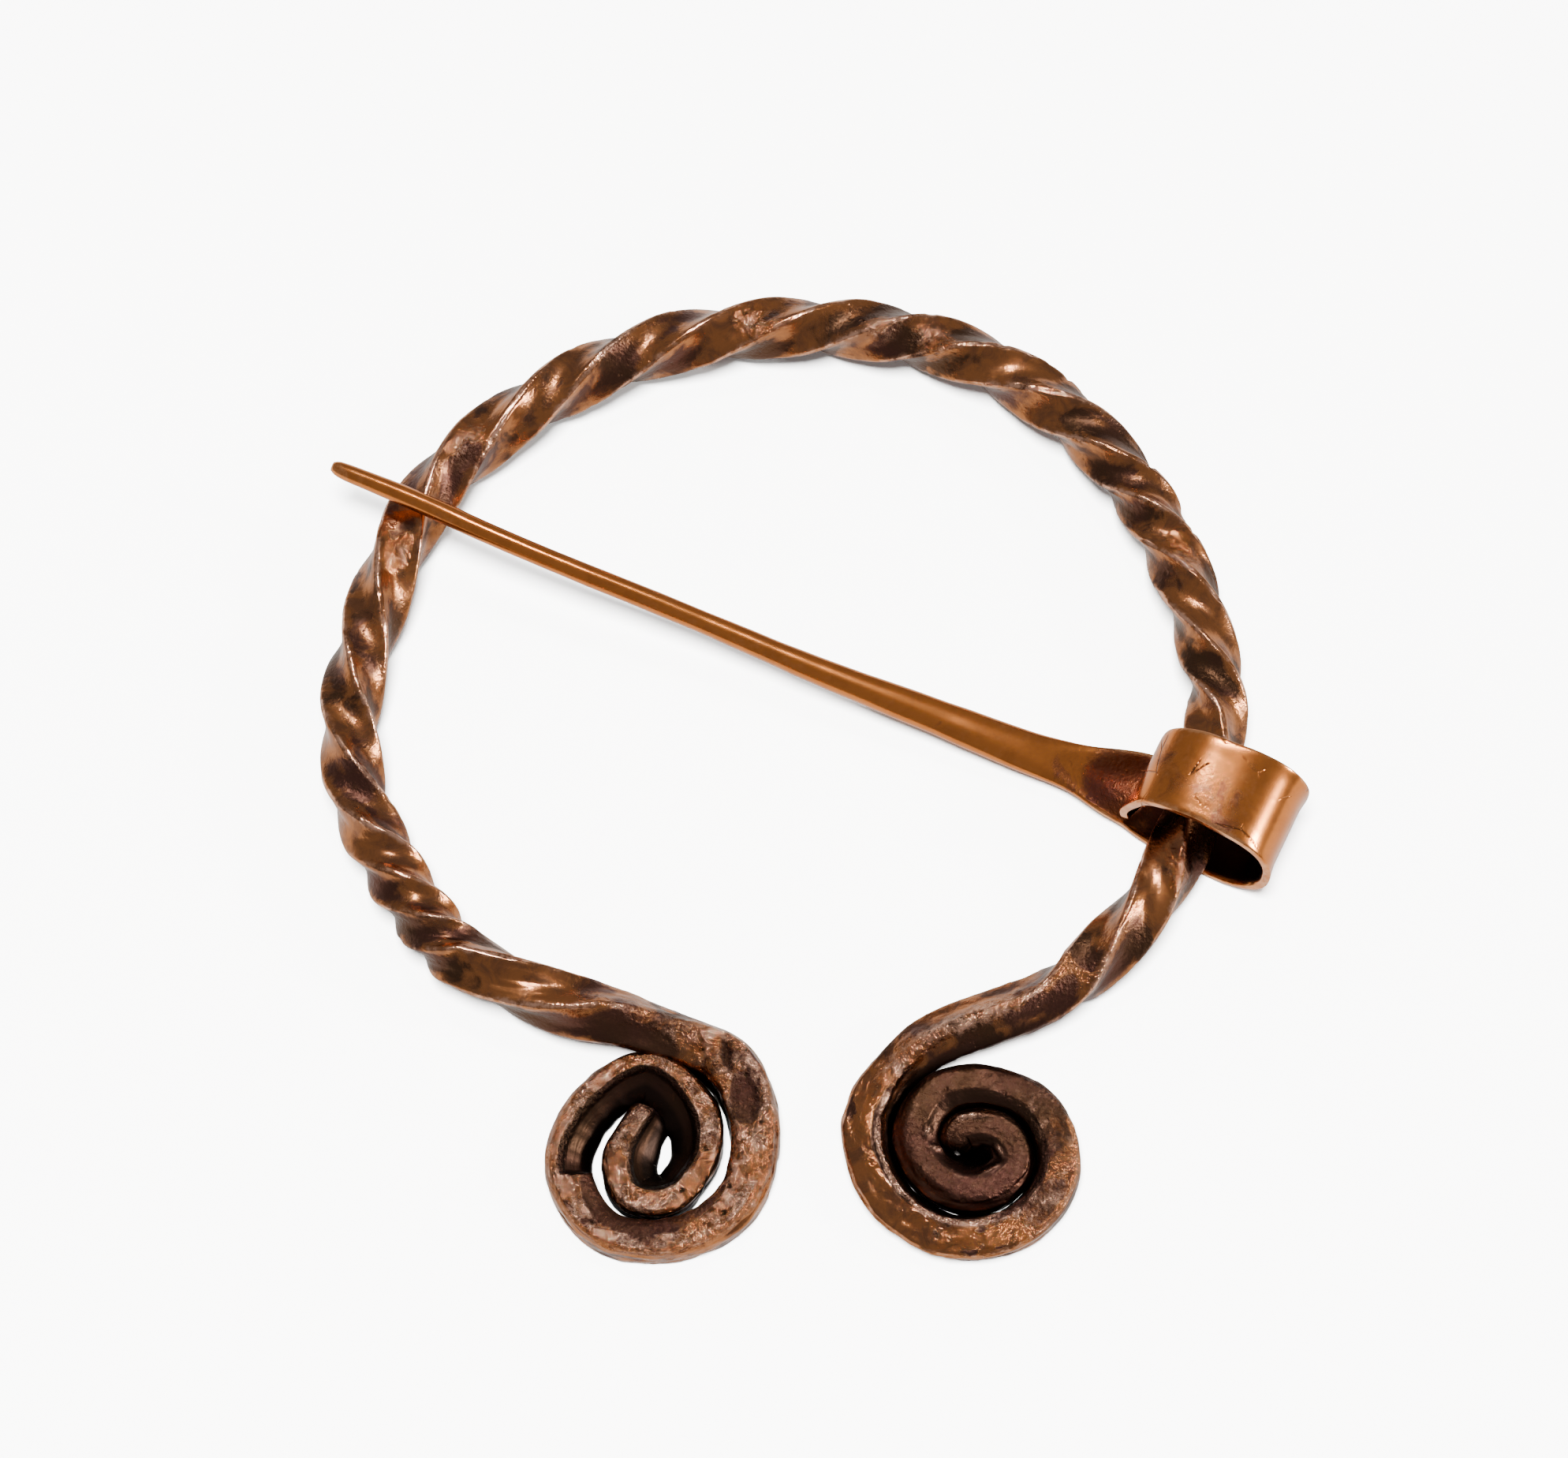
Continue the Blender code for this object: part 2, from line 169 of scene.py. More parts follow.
@dataclass
class Grain:
    """Seeded value noise for relief that is forged into a mesh."""

    seed: int
    size: int = 4096
    table: np.ndarray = field(init=False)
    order: np.ndarray = field(init=False)

    def __post_init__(self) -> None:
        """Draw the noise tables."""
        draw = np.random.default_rng(self.seed)
        self.table = draw.random(self.size) * 2 - 1
        self.order = draw.permutation(self.size)

    def read(self, points: np.ndarray) -> np.ndarray:
        """Read smooth noise.

        Args:
            points: Points of any unit cell size, one a row, with three columns.

        Returns:
            Noise from -1 to 1 at each point.
        """
        cell = np.floor(points).astype(int)
        part = ease(points - cell)
        total = np.zeros(len(points))
        for corner in product((0, 1), repeat=3):
            slot = np.zeros(len(points), int)
            share = np.ones(len(points))
            for axis, step in enumerate(corner):
                slot = self.order[(slot + cell[:, axis] + step) % self.size]
                share *= part[:, axis] if step else 1 - part[:, axis]
            total += self.table[slot] * share
        return total

    def layers(self, points: np.ndarray, count: int, gain: float = 0.5) -> np.ndarray:
        """Sum layers of noise, each half the size of the last.

        Args:
            points: Points in cells of the widest layer.
            count: Number of layers.
            gain: Strength of each layer against the last.

        Returns:
            Noise of about -1 to 1 at each point.
        """
        total = np.zeros(len(points))
        weight = 0.0
        for layer in range(count):
            total += self.read(points * 2 ** layer + 17.3 * layer) * gain ** layer
            weight += gain ** layer
        return total / weight

    def along(self, place: np.ndarray, cell: float, row: float = 0.0) -> np.ndarray:
        """Read noise along a line.

        Args:
            place: Places on the line.
            cell: Length of a cell.
            row: Number of the line, so that several differ.

        Returns:
            Noise from -1 to 1 at each place.
        """
        rows = np.full(len(place), row * 7.7 + 0.5)
        return self.read(np.stack([place / cell, rows, np.full(len(place), 0.5)], axis=1))


@dataclass(frozen=True)
class Layer:
    """Noise of one scale: its cell along and across the bar, its octaves and its shift."""

    along: float
    across: float
    octaves: int = 2
    shift: float = 0.0

    def read(self, grain: Grain, own: np.ndarray) -> np.ndarray:
        """Noise from -1 to 1 at points of the bar's own straight frame."""
        cell = np.array([self.along, self.across, self.across])
        return grain.layers(own / cell + self.shift, self.octaves)


@dataclass(frozen=True)
class Coil:
    """One coiled terminal, from its inner end outwards.

    The shape holds degrees turned from the inner end, and the bar's width and height as
    shares of its side. A gap is the clear way to the turn inside it, a step apart. The
    bevels are forged along the upper edges, on the side of the eye and on the
    outer side: degrees from the inner end, reach across and reach down. The foot is how
    far the metal spreads below the slope towards the eye, and the outside is bare from
    the degrees given.
    """

    wind: Wind
    eye: Plan
    start: float
    first_turn: tuple[float, ...]
    gaps: tuple[float, ...]
    shape: tuple[tuple[float, float, float], ...]
    inner_bevel: tuple[tuple[float, float, float], ...]
    outer_bevel: tuple[tuple[float, float, float], ...]
    foot: tuple[tuple[float, float], ...]
    outside_from: float
    bar_side: float = 4.0
    step: int = 45

    def read(self, table: str, column: int, turned: np.ndarray) -> np.ndarray:
        """Read a column of one of the tables at degrees turned from the inner end."""
        return keyed([(row[0], row[column]) for row in getattr(self, table)], turned)

    def width(self, turned: np.ndarray) -> np.ndarray:
        """Width of the bar at degrees turned from the inner end."""
        return self.bar_side * self.read("shape", 1, turned)

    def height(self, turned: np.ndarray) -> np.ndarray:
        """Height of the bar at degrees turned from the inner end."""
        return self.bar_side * self.read("shape", 2, turned)

    def radii(self) -> list[float]:
        """Work out the centreline from the first turn, the widths and the gaps.

        Returns:
            Radii a step apart, from the inner end.
        """
        radii = list(self.first_turn)
        per_turn = 360 // self.step
        for gap in self.gaps:
            here = self.step * len(radii)
            widths = self.width(here) + self.width(here - 360)
            radii.append(radii[len(radii) - per_turn] + float(widths) / 2 + gap)
        return radii

    def whole(self) -> int:
        """Degrees turned from the inner end to where the arm leaves."""
        return self.step * (len(self.first_turn) + len(self.gaps) - 1)

    def points(self) -> list[tuple[float, float, float]]:
        """Lay out the centreline.

        Returns:
            Plan points, with the degrees turned at each.
        """
        rows = []
        for i, radius in enumerate(self.radii()):
            turned = i * self.step
            angle = self.start + self.wind.value * turned
            rows.append((*polar(self.eye, angle, radius), float(turned)))
        return rows


LEFT_COIL = Coil(
    wind=Wind.LEFT,
    eye=(-9.74, -34.04),
    start=100,
    first_turn=(4.0, 2.6, 2.84, 3.56, 3.2, 2.56, 2.96, 4.4),
    gaps=(0.0, 0.86, 0.9, 0.5, 0.36, 1.0, 0.87, 0.76, 0.22),
    shape=(
        (0, 0.72, 0.60), (90, 0.93, 0.64), (225, 0.875, 0.67), (315, 1.00, 0.69), (360, 0.79, 0.70),
        (405, 0.92, 0.71), (450, 0.92, 0.72), (500, 0.77, 0.71), (545, 0.77, 0.70), (585, 0.90, 0.75),
        (630, 0.95, 0.80), (675, 1.12, 0.85), (720, 1.00, 0.90),
    ),
    inner_bevel=(
        (0, 1.25, 1.7), (60, 1.55, 1.9), (110, 1.65, 1.9), (180, 1.5, 1.7), (270, 1.95, 1.9),
        (325, 2.0, 2.0), (370, 1.8, 1.9), (400, 2.0, 2.0), (435, 2.6, 2.3), (452, 2.7, 2.2),
        (457, 0.9, 0.5), (480, 1.5, 0.55), (520, 1.3, 0.45), (560, 0.8, 0.25), (600, 0.35, 0.25),
        (720, 0.35, 0.3),
    ),
    outer_bevel=(
        (0, 0.3, 0.35), (300, 0.35, 0.4), (400, 0.4, 0.6), (500, 0.45, 0.6), (545, 0.5, 0.7),
        (590, 0.95, 0.9), (625, 0.7, 0.8), (670, 0.5, 0.6), (720, 0.4, 0.4),
    ),
    foot=(
        (0, 0.5), (60, 0.7), (120, 0.6), (170, 0.4), (230, 0.2), (290, 0.4), (330, 1.1), (355, 0.8),
        (380, 0.5), (405, 0.2), (440, 0.0), (620, 0.0), (650, 0.3), (680, 1.1), (705, 1.1), (720, 0.6),
    ),
    outside_from=370,
)
RIGHT_COIL = Coil(
    wind=Wind.RIGHT,
    eye=(14.86, -33.78),
    start=165,
    first_turn=(1.4, 1.92, 2.24, 3.0, 3.6, 3.28, 3.2, 3.6),
    gaps=(0.3, 0.44, 0.35, 0.4, 0.32, 0.32, 0.42, 0.44, 0.3, 0.34),
    shape=(
        (0, 0.60, 0.50), (90, 0.74, 0.56), (165, 0.76, 0.60), (225, 0.86, 0.63), (315, 0.86, 0.67),
        (360, 0.88, 0.70), (450, 0.80, 0.72), (540, 0.82, 0.72), (630, 0.90, 0.72), (720, 0.97, 0.80),
        (765, 0.94, 0.84),
    ),
    inner_bevel=(
        (0, 0.5, 0.4), (120, 0.6, 0.5), (200, 0.9, 0.6), (300, 0.7, 0.5), (420, 0.9, 0.4),
        (540, 0.5, 0.3), (600, 0.6, 0.3), (660, 1.1, 0.35), (720, 1.3, 0.4), (765, 1.1, 0.6),
    ),
    outer_bevel=(
        (0, 0.5, 0.4), (150, 0.5, 0.5), (200, 0.9, 0.8), (290, 1.1, 0.9), (350, 1.2, 0.9),
        (400, 0.6, 0.5), (520, 0.35, 0.35), (600, 0.6, 0.5), (700, 0.5, 0.5), (765, 0.4, 0.4),
    ),
    foot=(
        (0, 1.0), (90, 1.1), (165, 1.4), (255, 1.8), (300, 1.6), (340, 0.8), (368, 0.36), (700, 0.44),
        (765, 0.36),
    ),
    outside_from=430,
)


@dataclass(frozen=True)
class Dent:
    """A hammer mark pressed into the top of the bar, or a lump where its depth is under 0."""

    middle: Plan
    length: float
    width: float
    heading: float
    depth: float
    edge: float = 0.35

    def press(self, x: np.ndarray, y: np.ndarray) -> np.ndarray:
        """Read how deep the mark is.

        Args:
            x: Plan places to the right.
            y: Plan places to the back.

        Returns:
            Share of the depth at each place, 1 on the floor of the mark.
        """
        turn = math.radians(self.heading)
        u = (x - self.middle[0]) * math.cos(turn) + (y - self.middle[1]) * math.sin(turn)
        v = (y - self.middle[1]) * math.cos(turn) - (x - self.middle[0]) * math.sin(turn)
        far = np.hypot(u / (self.length / 2), v / (self.width / 2))
        return ease((1 + self.edge - far) / (2 * self.edge))


def only(thing: bpy.types.Object) -> None:
    """Deselect everything, then select one object and make it active.

    Args:
        thing: The object.
    """
    for other in bpy.context.view_layer.objects:
        other.select_set(False)
    thing.select_set(True)
    bpy.context.view_layer.objects.active = thing


def places_of(thing: bpy.types.Object) -> np.ndarray:
    """Read the places of an object's vertices.

    Args:
        thing: The object.

    Returns:
        The places, one a row.
    """
    places = np.empty(len(thing.data.vertices) * 3)
    thing.data.vertices.foreach_get("co", places)
    return places.reshape(-1, 3)


def bar_blank(name: str, around: int, first_cuts: int, then_cuts: int) -> bpy.types.Object:
    """Draw out a blank: a cylinder one unit long, cut into rings of points.

    Args:
        name: Name of the piece.
        around: Points in a ring.
        first_cuts: Cuts of the first pass along the blank.
        then_cuts: Cuts of the second pass in each part of the first.

    Returns:
        The blank, standing on its start with its length along Z.
    """
    bpy.ops.object.select_all(action="DESELECT")
    bpy.ops.mesh.primitive_cylinder_add(
        vertices=around, radius=1.0, depth=1.0, end_fill_type="NGON", location=(0, 0, 0.5))
    blank = bpy.context.object
    blank.name = name
    blank.data.name = name
    bpy.ops.object.transform_apply(location=True, rotation=True, scale=True)
    bpy.ops.object.mode_set(mode="EDIT")
    bpy.ops.mesh.select_mode(type="EDGE")
    for cuts in (first_cuts, then_cuts):
        bpy.ops.mesh.select_all(action="DESELECT")
        bpy.ops.object.mode_set(mode="OBJECT")
        mesh = blank.data
        height = places_of(blank)[:, 2]
        ends = np.empty(len(mesh.edges) * 2, int)
        mesh.edges.foreach_get("vertices", ends)
        ends = ends.reshape(-1, 2)
        upright = np.abs(height[ends[:, 0]] - height[ends[:, 1]]) > 1e-6
        mesh.edges.foreach_set("select", upright)
        bpy.ops.object.mode_set(mode="EDIT")
        bpy.ops.mesh.subdivide(number_cuts=cuts, quadcorner="INNERVERT")
    bpy.ops.object.mode_set(mode="OBJECT")
    return blank


def note(thing: bpy.types.Object, name: str, values: np.ndarray) -> None:
    """Keep a number for each vertex as a named attribute."""
    layer = thing.data.attributes.new(name, "FLOAT", "POINT")
    layer.data.foreach_set("value", np.asarray(values, np.float32))


def finish_piece(thing: bpy.types.Object, places: np.ndarray, finish: bpy.types.Material) -> None:
    """Shape a blank, close doubles, point its faces outwards, shade it and give it its finish.

    Args:
        thing: The blank.
        places: New places of its vertices, in the frame.
        finish: Its material.
    """
    thing.data.vertices.foreach_set("co", np.ravel(places))
    thing.data.update()
    only(thing)
    bpy.ops.object.mode_set(mode="EDIT")
    bpy.ops.mesh.select_all(action="SELECT")
    bpy.ops.mesh.remove_doubles(threshold=1e-7)
    bpy.ops.mesh.normals_make_consistent(inside=False)
    bpy.ops.object.mode_set(mode="OBJECT")
    bpy.ops.object.shade_smooth_by_angle(angle=SMOOTH_ANGLE)
    thing.data.materials.append(finish)


@dataclass
class Sheet:
    """A node tree that is being laid out, with short calls for its nodes."""

    tree: bpy.types.NodeTree

    def add(self, kind: str, **settings: object) -> bpy.types.Node:
        """Add a node.

        Args:
            kind: Type of the node.
            settings: Its properties.

        Returns:
            The node.
        """
        node = self.tree.nodes.new(kind)
        for name, value in settings.items():
            setattr(node, name, value)
        return node

    def feed(self, socket: Socket, value: object) -> None:
        """Link a socket, or set its own value.

        Args:
            socket: The input.
            value: A socket to link it to, or a value.
        """
        if isinstance(value, Socket):
            self.tree.links.new(value, socket)
        else:
            socket.default_value = value

    def place(self, group: bpy.types.NodeTree, **values: object) -> bpy.types.Node:
        """Place a node group.

        Args:
            group: The group.
            values: What feeds its inputs, by name.

        Returns:
            The node of the group.
        """
        node = self.add("ShaderNodeGroup", node_tree=group)
        for name, value in values.items():
            self.feed(node.inputs[name], value)
        return node

    def reckon(self, operation: str, *values: object) -> Socket:
        """Do arithmetic on values or sockets.

        Args:
            operation: Operation of the Math node.
            values: Numbers or sockets, in order.

        Returns:
            The socket of the result.
        """
        node = self.add("ShaderNodeMath", operation=operation)
        for socket, value in zip(node.inputs, values):
            self.feed(socket, value)
        return node.outputs[0]

    def noise(
        self, where: Socket, scale: float, detail: float = 4.0, rough: float = 0.55, twist: float = 0.0,
    ) -> Socket:
        """Read noise.

        Args:
            where: Place on the surface.
            scale: Cells in a metre.
            detail: Octaves.
            rough: Strength of each octave against the last.
            twist: How far the noise is warped by itself.

        Returns:
            The socket of the noise.
        """
        node = self.add("ShaderNodeTexNoise")
        names = ("Vector", "Scale", "Detail", "Roughness", "Distortion")
        for name, value in zip(names, (where, scale, detail, rough, twist)):
            self.feed(node.inputs[name], value)
        return node.outputs["Fac"]

    def cells(self, where: Socket, scale: float, feature: str) -> Socket:
        """Read the distance of a cell pattern.

        Args:
            where: Place on the surface.
            scale: Cells in a metre.
            feature: Feature of the Voronoi node.

        Returns:
            The socket of the distance.
        """
        node = self.add("ShaderNodeTexVoronoi", feature=feature)
        self.feed(node.inputs["Vector"], where)
        self.feed(node.inputs["Scale"], scale)
        return node.outputs["Distance"]

    def ramp(self, value: object, low: float, high: float) -> Socket:
        """Stretch a value and ease it.

        Args:
            value: The value.
            low: What gives 0.
            high: What gives 1.

        Returns:
            The socket of the result.
        """
        node = self.add("ShaderNodeMapRange", interpolation_type="SMOOTHSTEP")
        for name, number in (("Value", value), ("From Min", low), ("From Max", high)):
            self.feed(node.inputs[name], number)
        return node.outputs["Result"]

    def mix(self, share: object, first: object, second: object, kind: str = "RGBA") -> Socket:
        """Mix two colours or two numbers.

        Args:
            share: Share of the second.
            first: The first.
            second: The second.
            kind: RGBA for colours and FLOAT for numbers.

        Returns:
            The socket of the result.
        """
        node = self.add("ShaderNodeMix", data_type=kind)
        low, high, result = MIX_SOCKETS[kind]
        for index, value in zip((0, low, high), (share, first, second)):
            self.feed(node.inputs[index], value)
        return node.outputs[result]

    def attribute(self, name: str) -> Socket:
        """Read a named number of the surface."""
        return self.add("ShaderNodeAttribute", attribute_name=name, attribute_type="GEOMETRY").outputs["Fac"]


@dataclass(frozen=True)
class GroupPort:
    """A socket of a node group."""

    name: str
    kind: str
    value: object = None


def open_group(
    name: str, inputs: list[GroupPort], outputs: list[GroupPort],
) -> tuple[Sheet, bpy.types.Node, bpy.types.Node]:
    """Start a node group.

    Args:
        name: Name of the group.
        inputs: Its input sockets.
        outputs: Its output sockets.

    Returns:
        The sheet, the group's input node and its output node.
    """
    tree = bpy.data.node_groups.new(name, "ShaderNodeTree")
    for port in inputs:
        socket = tree.interface.new_socket(port.name, in_out="INPUT", socket_type=port.kind)
        if port.value is not None:
            socket.default_value = port.value
    for port in outputs:
        tree.interface.new_socket(port.name, in_out="OUTPUT", socket_type=port.kind)
    sheet = Sheet(tree)
    return sheet, sheet.add("NodeGroupInput"), sheet.add("NodeGroupOutput")


@dataclass(frozen=True)
class PatinaMottle:
    """Patches of dark patina, cloudy and then speckled, on Object coordinates."""

    name: str = "patina_mottle"
    cloud_per_m: float = 330.0
    speck_per_m: float = 1500.0
    spread: float = 0.62

    def build(self) -> bpy.types.NodeTree:
        """Make the group.

        Returns:
            The group, which gives two masks from how much patina there is.
        """
        sheet, start, end = open_group(
            self.name,
            [GroupPort("Place", "NodeSocketVector"), GroupPort("Amount", "NodeSocketFloat", 0.5)],
            [GroupPort("Cloud", "NodeSocketFloat"), GroupPort("Speck", "NodeSocketFloat")],
        )
        place, amount = start.outputs["Place"], start.outputs["Amount"]
        cloud = sheet.noise(place, self.cloud_per_m, 5.0, 0.6, 0.6)
        bare = sheet.reckon("MULTIPLY", sheet.reckon("SUBTRACT", 1.0, amount), self.spread)
        sheet.feed(end.inputs["Cloud"], sheet.ramp(sheet.reckon("SUBTRACT", cloud, bare), 0.03, 0.22))
        speck = sheet.ramp(sheet.noise(place, self.speck_per_m, 4.0, 0.7), 0.5, 0.68)
        sheet.feed(end.inputs["Speck"], sheet.reckon("MULTIPLY", speck, sheet.ramp(amount, 0.05, 0.8)))
        return sheet.tree


@dataclass(frozen=True)
class HammeredGrain:
    """Height of the fine grain that scale and a hammer leave, on Object coordinates."""

    name: str = "hammered_grain"
    coarse_per_m: float = 1500.0
    fine_per_m: float = 3000.0
    pit_per_m: float = 900.0
    grain_height: float = 0.7
    pit_depth: float = 0.8

    def build(self) -> bpy.types.NodeTree:
        """Make the group.

        Returns:
            The group, which gives a height and a mask of the pits.
        """
        sheet, start, end = open_group(
            self.name,
            [GroupPort("Place", "NodeSocketVector"), GroupPort("Grain", "NodeSocketFloat", 0.5)],
            [GroupPort("Height", "NodeSocketFloat"), GroupPort("Pit", "NodeSocketFloat")],
        )
        place, grain = start.outputs["Place"], start.outputs["Grain"]
        coarse = sheet.noise(place, self.coarse_per_m, 3.0, 0.6)
        fine = sheet.noise(place, self.fine_per_m, 3.0, 0.6)
        pit = sheet.ramp(sheet.cells(place, self.pit_per_m, "F1"), 0.08, 0.30)
        pit = sheet.reckon("MULTIPLY", sheet.reckon("SUBTRACT", 1.0, pit), sheet.ramp(coarse, 0.5, 0.62))
        coarse, fine = (sheet.reckon("MULTIPLY", layer, self.grain_height) for layer in (coarse, fine))
        height = sheet.reckon("ADD", coarse, fine)
        height = sheet.reckon("SUBTRACT", height, sheet.reckon("MULTIPLY", pit, self.pit_depth))
        sheet.feed(end.inputs["Height"], sheet.reckon("MULTIPLY", height, grain))
        sheet.feed(end.inputs["Pit"], sheet.reckon("MULTIPLY", pit, grain))
        return sheet.tree


@dataclass(frozen=True)
class FineCracks:
    """Fine cracks that open where a strip is bent, on Object coordinates."""

    name: str = "fine_cracks"
    crack_per_m: float = 230.0
    break_per_m: float = 420.0

    def build(self) -> bpy.types.NodeTree:
        """Make the group.

        Returns:
            The group, which gives a mask of the cracks.
        """
        sheet, start, end = open_group(
            self.name,
            [GroupPort("Place", "NodeSocketVector"), GroupPort("Amount", "NodeSocketFloat", 0.0)],
            [GroupPort("Crack", "NodeSocketFloat")],
        )
        place = start.outputs["Place"]
        edge = sheet.cells(place, self.crack_per_m, "DISTANCE_TO_EDGE")
        line = sheet.reckon("SUBTRACT", 1.0, sheet.ramp(edge, 0.004, 0.022))
        broken = sheet.ramp(sheet.noise(place, self.break_per_m, 3.0, 0.6), 0.50, 0.62)
        crack = sheet.reckon("MULTIPLY", sheet.reckon("MULTIPLY", line, broken), start.outputs["Amount"])
        sheet.feed(end.inputs["Crack"], crack)
        return sheet.tree


@dataclass(frozen=True)
class CopperFinish:
    """Worn copper: satin metal, bright where it rubs and dark where it doesn't."""

    metal: Metal
    satin: Colour
    brown: Colour
    bright: Colour
    dark: Colour
    purple: Colour
    satin_rough: float
    bright_rough: float
    dark_rough: float
    grain_depth: float
    # Near-black painted shade for recesses.
    painted_shade: Colour = (0.012, 0.009, 0.008, 1)
    tint_per_m: float = 150.0
    stain_per_m: float = 420.0
    rub_per_m: float = 1300.0
    streak_per_m: float = 2400.0
    speck_share: float = 0.45
    rub_spread: float = 0.22
    streak_rough: float = 0.06

    def material(
        self, mottle: bpy.types.NodeTree, grain: bpy.types.NodeTree, cracks: bpy.types.NodeTree,
    ) -> bpy.types.Material:
        """Lay out the material.

        Args:
            mottle: The patina group.
            grain: The grain group.
            cracks: The group of the fine cracks.

        Returns:
            The material, which reads the piece's own wear with its painted glints, patina with its painted
            shade, grain, near-black painted shade and cracks.
        """
        made = bpy.data.materials.new(self.metal.value + "_finish")
        made.use_nodes = True
        sheet = Sheet(made.node_tree)
        shader = made.node_tree.nodes["Principled BSDF"]
        place = sheet.add("ShaderNodeTexCoord").outputs["Object"]
        clouds = sheet.place(mottle, Place=place, Amount=sheet.attribute("patina_and_shade"))
        relief = sheet.place(grain, Place=place, Grain=sheet.attribute("grain"))
        crack = sheet.place(cracks, Place=place, Amount=sheet.attribute("crack")).outputs["Crack"]
        # The wear attribute also carries painted highlights on the ring's glint ovals, which take the bright
        # colour.
        wear_and_glint = sheet.attribute("wear_and_glint")
        rub_and_glint = sheet.noise(place, self.rub_per_m, 5.0, 0.70)
        rub_and_glint = sheet.reckon("ADD", rub_and_glint, sheet.reckon("MULTIPLY", wear_and_glint, self.rub_spread))
        rub_and_glint = sheet.reckon("MULTIPLY", wear_and_glint, sheet.ramp(rub_and_glint, 0.52, 0.78))

        tint = sheet.ramp(sheet.noise(place, self.tint_per_m, 3.0, 0.5), 0.35, 0.65)
        stain = sheet.ramp(sheet.noise(place, self.stain_per_m, 5.0, 0.65, 0.8), 0.40, 0.66)
        colour = sheet.mix(
            clouds.outputs["Cloud"], sheet.mix(stain, self.satin, self.brown),
            sheet.mix(tint, self.dark, self.purple))
        specks = sheet.reckon("MULTIPLY", clouds.outputs["Speck"], self.speck_share)
        # Dark specks, bright rubbed metal with painted glints, dark pits, dark cracks and then near-black
        # painted shade are laid over in turn.
        for mask, over in (
            (specks, self.dark), (rub_and_glint, self.bright), (relief.outputs["Pit"], self.dark), (crack, self.dark),
            (sheet.attribute("painted_shade"), self.painted_shade),
        ):
            colour = sheet.mix(mask, colour, over)
        sheet.feed(shader.inputs["Base Color"], colour)

        rough = sheet.mix(clouds.outputs["Cloud"], self.satin_rough, self.dark_rough, "FLOAT")
        rough = sheet.mix(rub_and_glint, rough, self.bright_rough, "FLOAT")
        streak = sheet.reckon("MULTIPLY", sheet.noise(place, self.streak_per_m, 2.0, 0.5), self.streak_rough)
        sheet.feed(shader.inputs["Roughness"], sheet.reckon("ADD", rough, streak))
        shader.inputs["Metallic"].default_value = 1.0

        bump = sheet.add("ShaderNodeBump")
        bump.inputs["Strength"].default_value = 1.0
        bump.inputs["Distance"].default_value = self.grain_depth * MM
        sheet.feed(bump.inputs["Height"], sheet.reckon("SUBTRACT", relief.outputs["Height"], crack))
        sheet.feed(shader.inputs["Normal"], bump.outputs["Normal"])
        return made


RING_FINISH = CopperFinish(
    metal=Metal.RING,
    satin=(0.42, 0.160, 0.058, 1),
    brown=(0.25, 0.105, 0.050, 1),
    bright=(0.80, 0.44, 0.29, 1),
    dark=(0.085, 0.042, 0.022, 1),
    purple=(0.105, 0.044, 0.031, 1),
    satin_rough=0.20,
    bright_rough=0.15,
    dark_rough=0.34,
    grain_depth=0.30,
)
PIN_FINISH = CopperFinish(
    metal=Metal.PIN,
    satin=(0.64, 0.210, 0.050, 1),
    brown=(0.56, 0.182, 0.044, 1),
    bright=(0.86, 0.40, 0.18, 1),
    dark=(0.20, 0.070, 0.025, 1),
    purple=(0.19, 0.062, 0.040, 1),
    satin_rough=0.19,
    bright_rough=0.15,
    dark_rough=0.30,
    grain_depth=0.10,
)


@dataclass
class Skin:
    """Where each vertex of the bar lies.

    It holds places in the bar's own straight frame, plan places, the angle round the
    section, marks along the bar, 1 on the hoop, places across towards the eye and up
    from -1 to 1, and 1 on the inner bevel, the outer bevel, deep hammer marks and lips.
    """

    own: np.ndarray
    x: np.ndarray
    y: np.ndarray
    angle: np.ndarray
    mark: np.ndarray
    share: np.ndarray
    across: np.ndarray
    up: np.ndarray
    inner: np.ndarray
    outer: np.ndarray
    pressed: np.ndarray
    raised: np.ndarray


